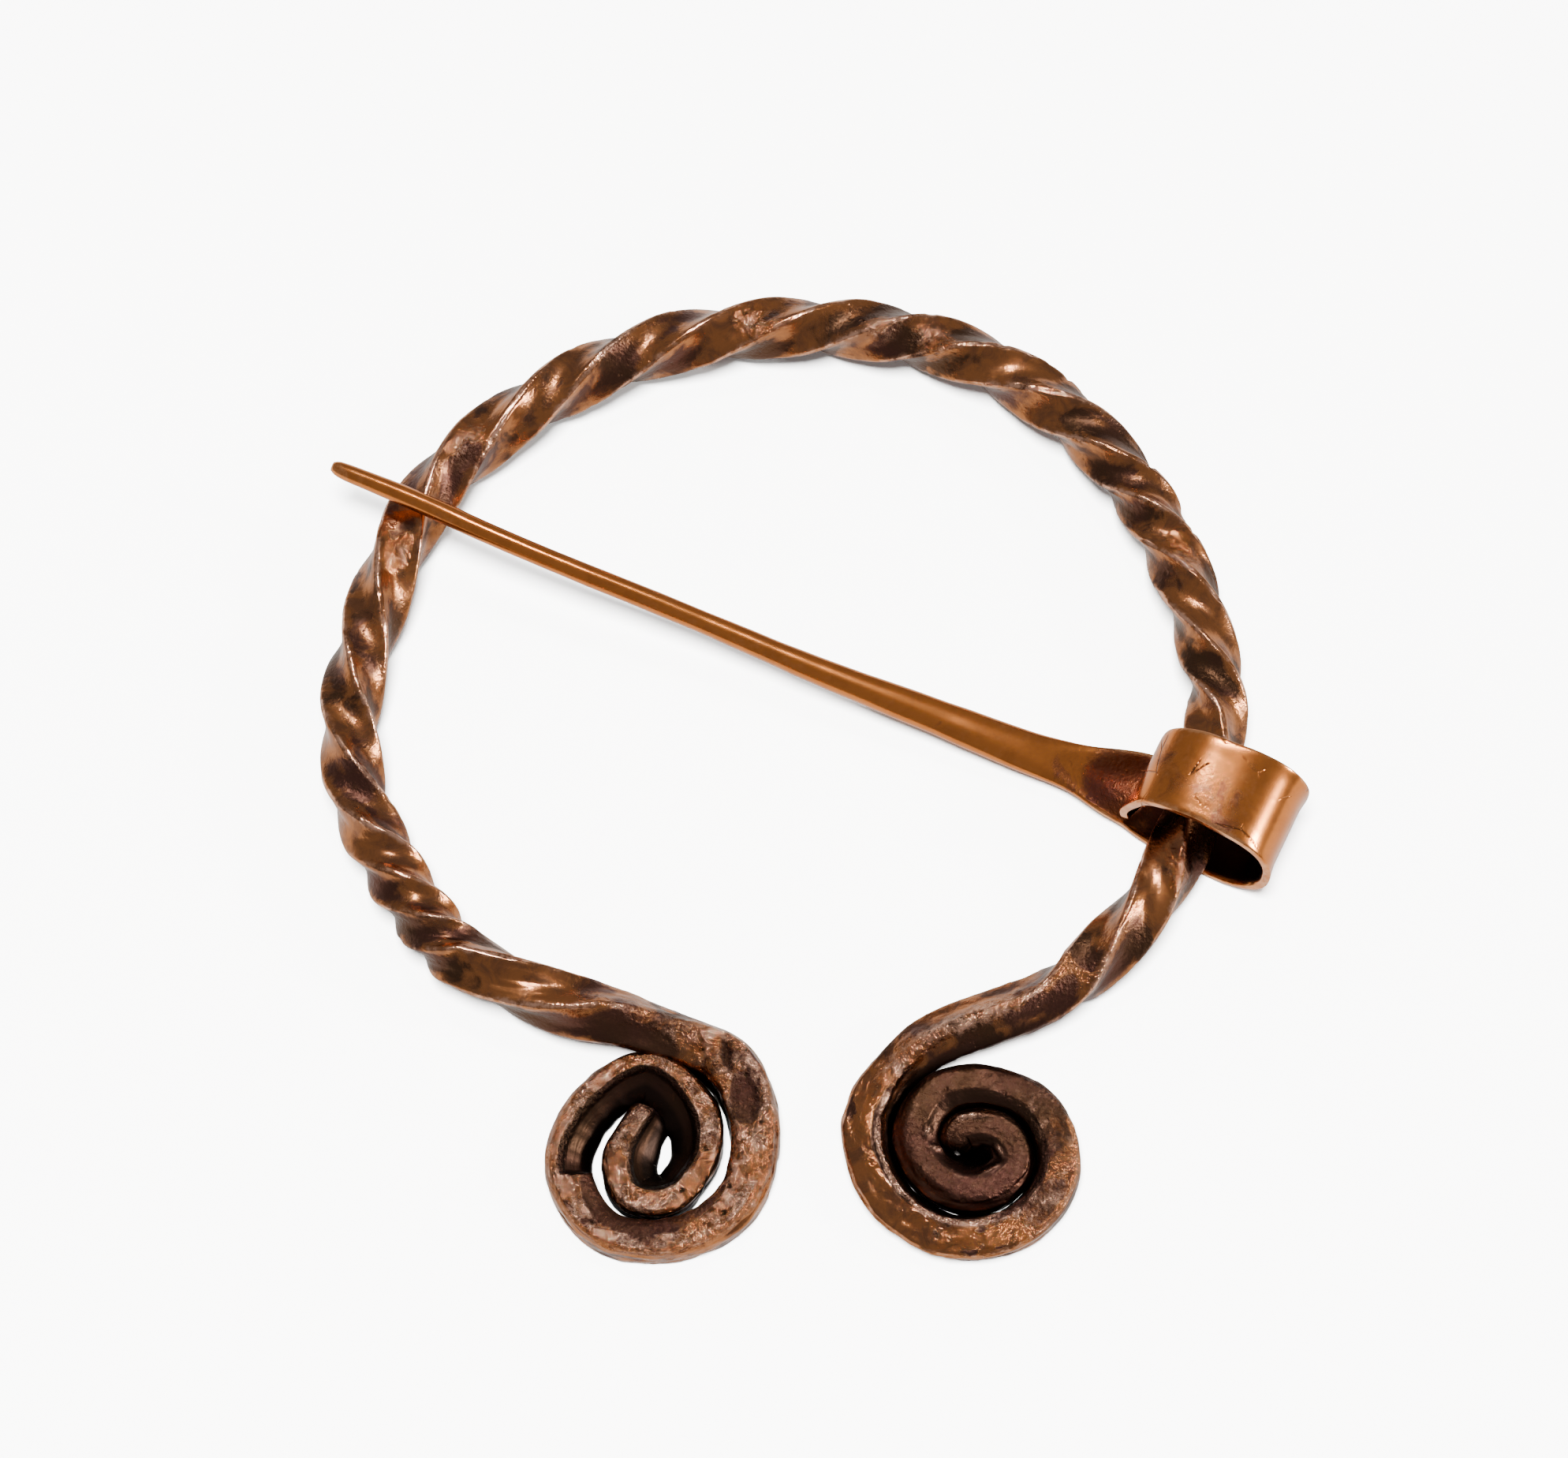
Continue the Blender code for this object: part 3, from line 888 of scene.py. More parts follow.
@dataclass
class TwistedRing:
    """The ring: one square bar, twisted over the hoop and coiled flat at both ends.

    The faces and the corners of the section wander along the bar by shares of their own
    reach, in slow and quick waves, and hammer marks, wrinkles, grit and pits lie on it.
    The hoop is keyed by polar angle and share of its radius, and the rolls of the coils
    by degrees turned and quarter turns of twist. Arrises cross the top at their angles.
    """

    name: str = "twisted_ring"
    bar_side: float = 4.0
    corner_cut: float = 0.30
    least_cut: float = 0.06
    coil_cut_more: float = 0.8
    face_hollow: float = 0.13
    slow_cell: float = 5.5
    quick_cell: float = 1.9
    hollow_cell: float = 6.0
    face_wander: tuple[float, float] = (0.028, 0.012)
    corner_wander: tuple[float, float] = (0.6, 0.4)
    section_blend: int = 60
    bevel_blend: int = 26
    waves: Layer = Layer(3.6, 2.2)
    wave_height: float = 0.07
    wrinkles: Layer = Layer(3.2, 0.7, shift=40)
    wrinkle_height: float = 0.035
    wrinkled_at: float = 219
    wrinkled_reach: float = 15
    wrinkled_height: float = 0.13
    grit: Layer = Layer(1.1, 0.7, 3, 80)
    grit_height: float = 0.02
    coil_grit_height: float = 0.11
    pits: Layer = Layer(0.8, 0.6, 1, 120)
    pit_depth: float = 0.18
    pitted_at: float = 40
    pitted_reach: float = 24
    blotches: Layer = Layer(4.0, 3.0, 3)
    fine_marks: Layer = Layer(1.6, 1.0, shift=60)
    specks: Layer = Layer(0.9, 0.7, shift=200)
    section_seed: int = 11
    relief_seed: int = 23
    wear_seed: int = 37
    hoop_radius: float = 38.0
    hoop_height: float = 3.7303
    underside_flat: float = 0.12
    around: int = 88
    first_cuts: int = 31
    then_cuts: int = 33
    left: Coil = LEFT_COIL
    right: Coil = RIGHT_COIL
    hoop: tuple[tuple[float, float], ...] = (
        (236, 0.718), (228, 0.758), (221, 0.795), (214, 0.837), (205, 0.861), (196, 0.887), (187, 0.921),
        (176, 0.939), (164, 0.942), (152, 0.961), (140, 0.987), (125, 0.989), (110, 0.997), (95, 1.005),
        (80, 1.018), (65, 1.024), (50, 1.008), (35, 0.979), (20, 0.953), (6, 0.939), (-6, 0.900),
        (-16, 0.871), (-26, 0.847), (-36, 0.816), (-45, 0.787),
    )
    arris_angles: tuple[float, ...] = (
        237, 215, 208.5, 201, 193.5, 182.5, 170.5, 158, 142, 127, 114, 100.5,
        87.5, 76.5, 66, 53.5, 42.5, 34, 24.5, 13, 4, -14, -32, -47,
    )
    left_roll: tuple[tuple[float, float], ...] = ((0, -0.5), (640, -0.5), (690, -0.3), (720, -0.14))
    right_roll: tuple[tuple[float, float], ...] = ((0, 23.5), (560, 23.5), (640, 23.32), (740, 23.25))
    left_rise: tuple[float, float] = (20, 222)
    right_rise: tuple[float, float] = (15, -20)
    dents: tuple[Dent, ...] = (
        Dent((-3.17, -29.81), 4.6, 2.2, 97, 0.34),
        Dent((-4.65, -25.79), 3.2, 0.6, 100, 0.60, 0.6),
        Dent((-5.65, -26.68), 1.5, 1.0, 40, -0.40, 0.6),
        Dent((-9.21, -42.53), 5.2, 0.8, 2, -0.12, 0.7),
        Dent((-16.07, -38.89), 4.6, 1.5, -45, 0.24, 0.5),
        Dent((-11.69, -41.26), 4.6, 1.1, -8, 0.20, 0.5),
        Dent((-4.29, -36.00), 2.6, 1.6, 65, 0.18, 0.6),
        Dent((21.00, -32.08), 2.0, 1.3, 60, 0.18, 0.6),
        Dent((18.36, -39.19), 2.4, 1.0, 40, 0.18, 0.6),
        Dent((11.70, -25.63), 1.6, 1.0, 45, 0.22, 0.5),
        Dent((13.28, -24.84), 1.5, 0.9, 30, 0.20, 0.5),
    )
    lips: tuple[Dent, ...] = (
        Dent((11.37, -32.21), 1.1, 0.5, 70, -0.22, 0.7),
        Dent((12.60, -33.60), 2.0, 0.45, 0, -0.25, 0.7),
        Dent((14.46, -30.91), 2.6, 0.5, 0, -0.16, 0.7),
        Dent((16.19, -35.33), 1.7, 0.45, 30, -0.22, 0.7),
        Dent((16.97, -33.77), 1.2, 0.4, -60, -0.22, 0.7),
        Dent((-5.61, -24.34), 2.4, 1.4, 20, -0.10, 0.7),
    )
    # Ovals where the lamp glints on the hoop: rougher grain, and a painted highlight of paler, less
    # patinated colour.
    glint_spots: tuple[Dent, ...] = (
        Dent((-26.63, 26.69), 3.4, 2.0, 45, 0.0, 0.4),
        Dent((-31.90, 16.58), 3.0, 1.7, 60, 0.0, 0.4),
        Dent((-2.27, 37.76), 3.6, 2.2, 0, 0.0, 0.4),
        Dent((8.06, 37.39), 3.2, 2.0, -10, 0.0, 0.4),
        Dent((12.71, 36.27), 3.6, 2.2, -20, 0.0, 0.4),
        Dent((33.01, 16.58), 3.2, 1.8, -60, 0.0, 0.4),
        Dent((32.10, -12.40), 4.6, 2.2, -70, 0.0, 0.4),
    )

    def hoop_mark(self, angle: float) -> float:
        """Mark of a polar angle on the hoop."""
        return self.left.whole() + 250 - angle

    def right_mark(self, turned: float) -> float:
        """Mark of a place in the right coil."""
        return self.left.whole() + 250 + 60 + self.right.whole() - turned

    def course(self) -> np.ndarray:
        """Lay out the bar's course.

        Returns:
            Fine plan points along the middle of the bar, with their marks.
        """
        rows = self.left.points()
        for angle, share in self.hoop:
            rows.append((*polar((0, 0), angle, self.hoop_radius * share), self.hoop_mark(angle)))
        rows += [(x, y, self.right_mark(turned)) for x, y, turned in reversed(self.right.points())]
        return smooth_rows(np.array(rows), 40)

    def roll(self, mark: np.ndarray) -> np.ndarray:
        """Roll the section, so that each arris crosses the top at its own place.

        Args:
            mark: Marks along the bar.

        Returns:
            The roll in radians.
        """
        keys = list(self.left_roll)
        keys += [(self.hoop_mark(angle), count) for count, angle in enumerate(self.arris_angles)]
        keys += [(self.right_mark(turned), count) for turned, count in reversed(self.right_roll)]
        return np.radians(45 - 90 * keyed(keys, mark))

    def hoop_share(self, mark: np.ndarray) -> np.ndarray:
        """Tell the hoop from the coils.

        Args:
            mark: Marks along the bar.

        Returns:
            1 on the hoop and 0 in the coils.
        """
        low, high = self.left.whole() - self.left_rise[0], self.hoop_mark(self.left_rise[1])
        up = ease((mark - low) / (high - low))
        high = self.hoop_mark(self.right_rise[1])
        low = self.right_mark(self.right.whole() - self.right_rise[0])
        return up * (1 - ease((mark - high) / (low - high)))

    def in_coils(self, mark: np.ndarray, left: Rule, right: Rule) -> np.ndarray:
        """Read one rule in the left coil and another in the right coil."""
        on_left = mark < self.hoop_mark(90)
        return np.where(on_left, left(mark), right(self.right_mark(0) - mark))

    def read(self, table: str, column: int, mark: np.ndarray) -> np.ndarray:
        """Read a column of one of the coils' tables at marks."""
        return self.in_coils(mark, *(partial(coil.read, table, column) for coil in (self.left, self.right)))

    def from_corner(self, angle: np.ndarray) -> np.ndarray:
        """Angle round the section from the nearest corner."""
        return np.abs(np.mod(angle, math.pi / 2) - math.pi / 4)

    def section(self, angle: np.ndarray, s: np.ndarray, share: np.ndarray) -> np.ndarray:
        """Reach of the forged section from its middle.

        Each of the four faces and four worn arrises is a plane whose distance
        wanders along the bar, and the planes are blended where they meet.

        Args:
            angle: Angle round the section, with faces at whole quarters of a turn.
            s: Distance along the bar.
            share: 1 on the hoop and 0 in the coils.

        Returns:
            The reach at each angle.
        """
        grain = Grain(self.section_seed)
        half = self.bar_side / 2
        total = np.zeros_like(angle)
        for plane in range(8):
            slow = grain.along(s, self.slow_cell, plane)
            quick = grain.along(s, self.quick_cell, plane + 30)
            more, less = self.corner_wander if plane % 2 else self.face_wander
            wander = 1 + more * slow + less * quick
            if plane % 2:
                cut = self.corner_cut * (wander + self.coil_cut_more * (1 - share))
                away = (2 * half - np.maximum(cut, self.least_cut)) / math.sqrt(2)
            else:
                away = half * wander
            total += np.maximum(np.cos(angle - plane * math.pi / 4) / away, 0.0) ** self.section_blend
        reach = total ** (-1 / self.section_blend)
        depth = self.face_hollow * share * (1 + 0.6 * grain.along(s, self.hollow_cell, 50))
        return reach - depth * np.cos(2 * angle) ** 2

    def bevelled(
        self, a: np.ndarray, b: np.ndarray, width: np.ndarray, height: np.ndarray,
        across: np.ndarray, down: np.ndarray, side: int, strength: np.ndarray,
    ) -> tuple[np.ndarray, np.ndarray, np.ndarray]:
        """Forge a bevel along an upper edge of the section.

        Args:
            a: Places across the bar, towards the eye.
            b: Places up from the bar's middle.
            width: Width of the section.
            height: Height of the section.
            across: Reach of the bevel across the top.
            down: Reach of the bevel down the side.
            side: 1 for the side of the eye and -1 for the outer side.
            strength: 1 where the bevel is whole and 0 where there is none.

        Returns:
            The new places across and up, and 1 on the bevel.
        """
        size = np.hypot(across, down)
        na, nb = side * down / size, across / size
        away = na * side * (width / 2 - across) + nb * height / 2
        away = away + 3.0 * (1 - strength)
        over = np.maximum((a * na + b * nb) / away, 1e-6)
        pull = (1 + over ** self.bevel_blend) ** (-1 / self.bevel_blend)
        return a * pull, b * pull, ease((over - 0.93) / 0.07)

    def build(self, finish: bpy.types.Material) -> bpy.types.Object:
        """Forge the ring and dress it.

        Args:
            finish: Material of the ring.

        Returns:
            The finished piece.
        """
        thing = bar_blank(self.name, self.around, self.first_cuts, self.then_cuts)
        unit = places_of(thing)
        course = self.course()
        length = distances(course[:, :2])
        s = unit[:, 2] * length[-1]
        turn = np.arctan2(unit[:, 1], unit[:, 0])
        angle = turn + 0.10 * np.sin(4 * turn)
        x0, y0, mark = (np.interp(s, length, course[:, k]) for k in range(3))
        ahead = np.gradient(course[:, :2], length, axis=0)
        tx, ty = (np.interp(s, length, ahead[:, k]) for k in range(2))
        size = np.hypot(tx, ty)
        tx, ty = tx / size, ty / size

        share = self.hoop_share(mark)
        coil = 1 - share
        reach = self.section(angle, s, share)
        own = np.stack([s, reach * np.cos(angle), reach * np.sin(angle)], axis=1)
        roll = self.roll(mark)
        a = reach * np.cos(angle + roll)
        b = reach * np.sin(angle + roll)
        near = np.clip(np.minimum(s, length[-1] - s) / 0.9, 0, 1)
        dome = 0.60 + 0.40 * np.sqrt(1 - (1 - near) ** 2)
        width = self.in_coils(mark, self.left.width, self.right.width) * dome
        height = self.in_coils(mark, self.left.height, self.right.height) * dome
        a = a * (1 + (width / 2 / self.widest(s, a) - 1) * coil)
        b = b * (1 + (height / 2 / self.widest(s, b) - 1) * coil)
        wide = 2 * self.widest(s, a)
        high = 2 * self.widest(s, b)
        strength = ease((coil - 0.25) / 0.6)
        slopes = []
        for edge, side in (("inner_bevel", 1), ("outer_bevel", -1)):
            across, down = (self.read(edge, column, mark) for column in (1, 2))
            a, b, slope = self.bevelled(a, b, wide, high, across * dome, down * dome, side, strength)
            slopes.append(slope * strength)

        low = 1 - ease((b / (high / 2) + 1) / 1.7)
        a = a + self.read("foot", 1, mark) * dome * low * ease(a / (wide / 2) / 0.8) * strength

        bump = self.relief(own, angle, mark, coil, slopes[0])
        far = np.maximum(np.hypot(a, b), 1e-6)
        a = a * (1 + bump / far)
        b = b * (1 + bump / far)
        drop = self.widest(s, -b) - self.underside_flat
        x = x0 - ty * a
        y = y0 + tx * a
        z = drop + (self.hoop_height - drop) * share + b
        flat = ease((b / (high / 2) - 0.45) / 0.3) * strength
        pressed = np.zeros_like(z)
        for dent in self.dents:
            press = dent.press(x, y)
            z = z - dent.depth * press * flat
            pressed += press * flat * (dent.depth > 0.25)
        raised = np.zeros_like(z)
        for lip in self.lips:
            press = lip.press(x, y) * ease((b / (high / 2) - 0.1) / 0.5) * strength
            z = z - lip.depth * press
            raised += press
        z = np.maximum(z, 0.0)
        pressed = np.clip(pressed, 0, 1)

        skin = Skin(own, x, y, angle, mark, share, a / (wide / 2), b / (high / 2), *slopes, pressed, raised)
        self.dress(thing, skin)
        finish_piece(thing, in_frame(x, y, z), finish)
        return thing

    def widest(self, s: np.ndarray, across: np.ndarray) -> np.ndarray:
        """Find the greatest reach across the bar in each ring of vertices.

        Args:
            s: Distance along the bar.
            across: Reach of each vertex.

        Returns:
            The greatest reach of its ring, for each vertex.
        """
        key, ring = np.unique(np.round(s, 4), return_inverse=True)
        most = np.full(len(key), -1e9)
        np.maximum.at(most, ring, across)
        return most[ring]

    def relief(
        self, own: np.ndarray, angle: np.ndarray, mark: np.ndarray, coil: np.ndarray, slope: np.ndarray,
    ) -> np.ndarray:
        """Height of hammer marks, wrinkles and pits on the bar's own surface.

        Args:
            own: Points in the bar's own straight frame.
            angle: Angle round the section.
            mark: Marks along the bar.
            coil: 1 in the coils and 0 on the hoop.
            slope: 1 on the smooth inner slopes of the coils.

        Returns:
            Height above the plain section.
        """
        grain = Grain(self.relief_seed)
        corner = bell(self.from_corner(angle), 0.30)
        wrinkled = bell(mark - self.hoop_mark(self.wrinkled_at), self.wrinkled_reach)
        pitted = bell(mark - self.hoop_mark(self.pitted_at), self.pitted_reach) + 0.35
        waves = self.waves.read(grain, own) * self.wave_height
        wrinkles = self.wrinkles.read(grain, own) * (self.wrinkle_height + self.wrinkled_height * wrinkled)
        grit = self.grit.read(grain, own) * (self.grit_height + self.coil_grit_height * coil)
        pits = ease((self.pits.read(grain, own) - 0.38) / 0.3) * pitted * corner * (1 - coil)
        return (waves + wrinkles + grit) * (1 - 0.9 * slope) - self.pit_depth * pits

    def dress(self, thing: bpy.types.Object, skin: Skin) -> None:
        """Note the wear, patina, grain and painted shade of each vertex, with painted highlights in the wear
        and painted shade in the patina.

        Args:
            thing: The ring.
            skin: Where each vertex lies on the bar.
        """
        grain = Grain(self.wear_seed)
        up, across, share = skin.up, skin.across, skin.share
        blotch, fine, speck = (
            layer.read(grain, skin.own) for layer in (self.blotches, self.fine_marks, self.specks))
        quarter = self.from_corner(skin.angle)
        corner, near = bell(quarter, 0.13), bell(quarter, 0.33)
        coil = 1 - share
        top = ease((up - 0.55) / 0.35)
        turned = self.right_mark(0) - skin.mark
        on_right = skin.mark > self.hoop_mark(90)
        dark_turns = ease((525 - turned) / 80) * on_right
        outer_turn = ease((turned - 560) / 50) * (1 - ease((turned - 738) / 22)) * on_right
        eye_band = ease((across - 0.25) / 0.2) * outer_turn
        broad_zone = (1 - ease((across - 0.25) / 0.2)) * outer_turn
        inner_side = ease((across - 0.45) / 0.3)
        outside = ease((self.in_coils(
            skin.mark, lambda where: where - self.left.outside_from,
            lambda where: where - self.right.outside_from) + 10) / 20)
        hidden = np.maximum(inner_side, (1 - outside) * ease((-across - 0.45) / 0.3))
        steep = skin.inner * np.where((skin.mark > 456) & (skin.mark < self.hoop_mark(90)), 0.45, 1)
        # Painted shade on the hidden lower walls between turns: near-black, full patina colour and no wear.
        shaded_walls = coil * hidden * ease((0.45 - up) / 0.4) * (1 - 0.6 * skin.inner)

        wear_and_glint = corner * np.clip(1.0 + 0.9 * fine, 0, 1) * (0.45 + 0.55 * ease((up + 0.5) / 1.2))
        flat_wear = top * np.clip(0.58 + 0.5 * blotch + 0.5 * speck, 0, 1) * (1 - 0.85 * dark_turns)
        flat_wear *= (1 - skin.inner) * (1 - 0.55 * skin.outer) * (1 - 0.9 * skin.pressed)
        arm = ease((skin.mark - 690) / 25) * (1 - on_right)
        pitted_side = bell(turned - 520, 60) * on_right
        flat_wear *= (1 - 0.7 * arm) * (1 - 0.5 * pitted_side)
        flat_wear *= 1 - 0.85 * broad_zone
        flat_wear = np.maximum(flat_wear, 1.1 * top * eye_band * np.clip(0.8 + fine, 0, 1))
        bare = np.maximum(wear_and_glint * 0.6 * (1 - dark_turns) * (1 - skin.inner), flat_wear)
        lip = bell(skin.inner - 0.3, 0.28) * (skin.inner > 0.01) * ease((up - 0.1) / 0.4)
        bare = np.maximum(bare, lip * np.clip(0.7 + fine, 0, 1) * (1 - 0.6 * dark_turns))
        bare = np.maximum(bare, 0.9 * np.clip(skin.raised, 0, 1))
        wear_and_glint = np.where(coil > 0.5, bare, wear_and_glint) * (1 - shaded_walls)

        patina_and_shade = 0.52 - 0.34 * near + 0.85 * blotch - 0.08 * ease(up)
        rest = 0.34 + 0.45 * blotch + 0.60 * steep - 0.25 * skin.outer + 0.60 * dark_turns
        rest += 0.35 * arm + 0.25 * pitted_side
        rest -= 0.40 * broad_zone - 0.5 * ease((speck - 0.25) / 0.3) * broad_zone
        # The shaded walls add painted shade to the patina.
        patina_and_shade = patina_and_shade * share + (rest + 0.5 * skin.pressed) * coil + shaded_walls
        rough = 0.13 + 0.25 * blotch - 0.2 * coil * skin.inner
        rough += 0.85 * coil * top * (1 - 0.6 * dark_turns) * (1 - 0.85 * broad_zone)
        # Painted highlight: the glint ovals take the bright colour and less patina, and rougher grain.
        glint_share = np.clip(sum(spot.press(skin.x, skin.y) for spot in self.glint_spots), 0, 1)
        glint_share = glint_share * ease((up + 0.1) / 0.5) * share
        wear_and_glint = np.maximum(wear_and_glint, 0.6 * glint_share * np.clip(0.7 + 1.2 * fine, 0, 1))
        note(thing, "wear_and_glint", np.clip(wear_and_glint, 0, 1))
        note(thing, "patina_and_shade", np.clip(patina_and_shade - 0.15 * glint_share, 0, 1))
        note(thing, "grain", np.clip(rough + 0.9 * glint_share, 0.04, 1.3))
        # Painted shade: near-black on the hidden walls and on the steepest slopes towards the eye.
        note(thing, "painted_shade", np.clip(shaded_walls + 0.45 * (steep > 0.5) * steep * coil, 0, 1))


@dataclass
class SlidingPin:
    """The pin: a needle that flattens to a strip and rolls into a loop round the bar.

    A row of the needle holds places along, sideways and up, the width, the thickness and
    the squareness of the section.
    """

    name: str = "sliding_pin"
    strip_thickness: float = 0.9
    strip_gap: float = 0.3
    bar_reach: float = 2.5303
    side_room: float = 2.85
    head_room: float = 3.3
    squareness: float = 2.6
    end_angle: float = 203.0
    loop_widths: tuple[tuple[float, float], ...] = ((-90, 8.3), (0, 8.0), (90, 7.2), (203, 6.3))
    place: Plan = (34.9, -5.75)
    heading: float = -26.0
    rest: float = 7.4506
    neck_end: Plan = (-6.2, 6.9)
    around: int = 56
    first_cuts: int = 15
    then_cuts: int = 27
    seed: int = 51
    bumps: Layer = Layer(3.4, 1.6)
    blotches: Layer = Layer(5.0, 3.0, 3, 9)
    needle: tuple[tuple[float, ...], ...] = (
        (-77.8, -5.42, 0.15, 0.80, 0.80, 2.0),
        (-77.4, -5.41, 0.14, 1.20, 1.15, 2.0),
        (-76.6, -5.40, 0.12, 1.42, 1.38, 2.0),
        (-74.2, -5.28, 0.08, 1.56, 1.54, 2.0),
        (-70.0, -5.12, 0.00, 1.70, 1.70, 2.0),
        (-63.4, -5.08, -0.12, 1.74, 1.74, 2.0),
        (-57.8, -4.82, -0.55, 1.76, 1.76, 2.0),
        (-50.9, -4.28, -1.35, 1.81, 1.81, 2.0),
        (-43.9, -3.75, -2.25, 1.90, 1.88, 2.1),
        (-37.0, -3.14, -3.05, 2.13, 2.05, 2.1),
        (-30.1, -2.52, -3.85, 2.50, 2.20, 2.2),
        (-23.2, -1.84, -4.65, 3.05, 2.15, 2.3),
        (-16.3, -1.23, -5.45, 3.60, 2.00, 2.4),
        (-12.2, -0.68, -6.05, 4.20, 1.60, 2.8),
        (-8.8, -0.33, -6.70, 5.90, 1.10, 3.6),
    )

    def loop_rows(self) -> list[tuple[float, ...]]:
        """Lay out the loop.

        Returns:
            Rows like the needle's, along the middle of the rolled strip.
        """
        half_length = self.bar_reach + self.side_room + self.strip_thickness / 2
        inside = 2 * self.bar_reach + self.head_room + self.strip_gap
        half_height = (inside + self.strip_thickness) / 2
        middle = self.strip_thickness / 2 + half_height
        rows = []
        for angle in np.linspace(-90, self.end_angle, 66)[1:]:
            cos, sin = math.cos(math.radians(angle)), math.sin(math.radians(angle))
            reach = (abs(cos / half_length) ** self.squareness
                     + abs(sin / half_height) ** self.squareness) ** (-1 / self.squareness)
            width = float(keyed(self.loop_widths, angle))
            rows.append((reach * cos, 0.0, middle + reach * sin, width, self.strip_thickness, 7.0))
        return rows

    def loop_length(self) -> float:
        """Length of the loop's middle line."""
        rows = np.array(self.loop_rows())
        return float(np.linalg.norm(np.diff(rows[:, :3], axis=0), axis=1).sum())

    def course(self) -> np.ndarray:
        """Lay out the whole pin.

        Returns:
            Fine rows like the needle's, from the tip to the loop's free end.
        """
        rows = [(u, v, self.rest + up, w, t, q) for u, v, up, w, t, q in self.needle]
        floor = self.strip_thickness / 2
        neck, neck_width = self.neck_end
        root = self.loop_widths[0][1]
        rows.append((neck, 0.0, floor, neck_width, self.strip_thickness, 6.0))
        rows.append((neck / 2, 0.0, floor, (neck_width + root) / 2, self.strip_thickness, 7.0))
        rows.append((0.0, 0.0, floor, root, self.strip_thickness, 7.0))
        fine = smooth_rows(np.array(rows), 14)
        return np.vstack([fine, np.array(self.loop_rows())])

    def build(self, finish: bpy.types.Material) -> bpy.types.Object:
        """Forge the pin and dress it.

        Args:
            finish: Material of the pin.

        Returns:
            The finished piece.
        """
        thing = bar_blank(self.name, self.around, self.first_cuts, self.then_cuts)
        unit = places_of(thing)
        course = self.course()
        length = distances(course[:, :3])
        s = unit[:, 2] * length[-1]
        u, v, up, width, thick, square = (np.interp(s, length, course[:, k]) for k in range(6))
        ahead = np.gradient(course[:, :3], length, axis=0)
        tangent = np.stack([np.interp(s, length, ahead[:, k]) for k in range(3)], axis=1)
        tangent /= np.linalg.norm(tangent, axis=1)[:, None]
        side = np.array([0.0, 1.0, 0.0]) - tangent * tangent[:, 1:2]
        side /= np.linalg.norm(side, axis=1)[:, None]
        rise = np.cross(tangent, side)

        angle = np.arctan2(unit[:, 1], unit[:, 0])
        cos, sin = np.cos(angle), np.sin(angle)
        a = np.sign(cos) * np.abs(cos) ** (2 / square) * width / 2
        b = np.sign(sin) * np.abs(sin) ** (2 / square) * thick / 2
        grain = Grain(self.seed)
        own = np.stack([s, a, b], axis=1)
        flat = ease((width - 4) / 2)
        swell = 1 + 0.035 * grain.along(s, 5.0, 1) + 0.02 * grain.along(s, 2.1, 2)
        bumps = self.bumps.read(grain, own) * (0.022 + 0.03 * flat)
        a = a * swell + bumps * cos
        b = b * swell + bumps * sin
        round_loop = s - (length[-1] - self.loop_length())
        out = a / (width / 2)
        in_loop = ease(round_loop / 1.5)
        left_over = length[-1] - s
        dish = bell(u + 8.4, 4.2) * (1 - in_loop)
        b = b + 0.80 * dish * np.abs(out) ** 2 * (1 + 0.35 * grain.along(s, 2.2, 5))
        b = b - 0.25 * dish * bell(out, 0.5)
        v = v + 0.16 * grain.along(s, 11.0, 8) * (1 - in_loop) * ease(s / 20)
        curl = ease((4.6 - left_over) / 4.6) * ease((-out - 0.05) / 0.95)
        flare = bell(round_loop - 9.5, 5.0) * np.abs(out) ** 5
        b = b - 1.0 * curl - 0.40 * flare
        lean = 0.10 * a * in_loop
        spot = np.stack([u, v, up], axis=1) + side * a[:, None] + rise * b[:, None]
        turn = math.radians(self.heading)
        x = spot[:, 0] * math.cos(turn) - spot[:, 1] * math.sin(turn) + self.place[0]
        y = spot[:, 0] * math.sin(turn) + spot[:, 1] * math.cos(turn) + self.place[1]
        z = np.maximum(spot[:, 2] + lean * ease(spot[:, 2] / 6), 0.0)

        self.dress(thing, own, sin, out, flat, dish, round_loop)
        finish_piece(thing, in_frame(x, y, z), finish)
        return thing

    def dress(
        self, thing: bpy.types.Object, own: np.ndarray, face: np.ndarray, out: np.ndarray,
        flat: np.ndarray, dish: np.ndarray, round_loop: np.ndarray,
    ) -> None:
        """Note the wear, patina, grain, painted shade and cracks of each vertex, with painted shade in the
        patina too.

        Args:
            thing: The pin.
            own: Points in the pin's own straight frame.
            face: From -1 on the loop's outer face to 1 on its inner face.
            out: Places across the strip, from -1 to 1.
            flat: 1 on the strip and 0 on the needle.
            dish: 1 in the dished neck.
            round_loop: Distance round the loop from its start.
        """
        blotch = self.blotches.read(Grain(self.seed), own)
        in_loop = ease(round_loop / 1.5)
        edge = ease((np.abs(out) - 0.86) / 0.12) * flat
        inside = ease(face / 0.3 - 0.5) * ease((round_loop + 6.0) / 3.0) * (1 - edge)
        # The dished neck is darker: patina in the dent, and painted shade.
        hollow = dish * ease((face + 0.2) / 0.4) * (1 - edge)
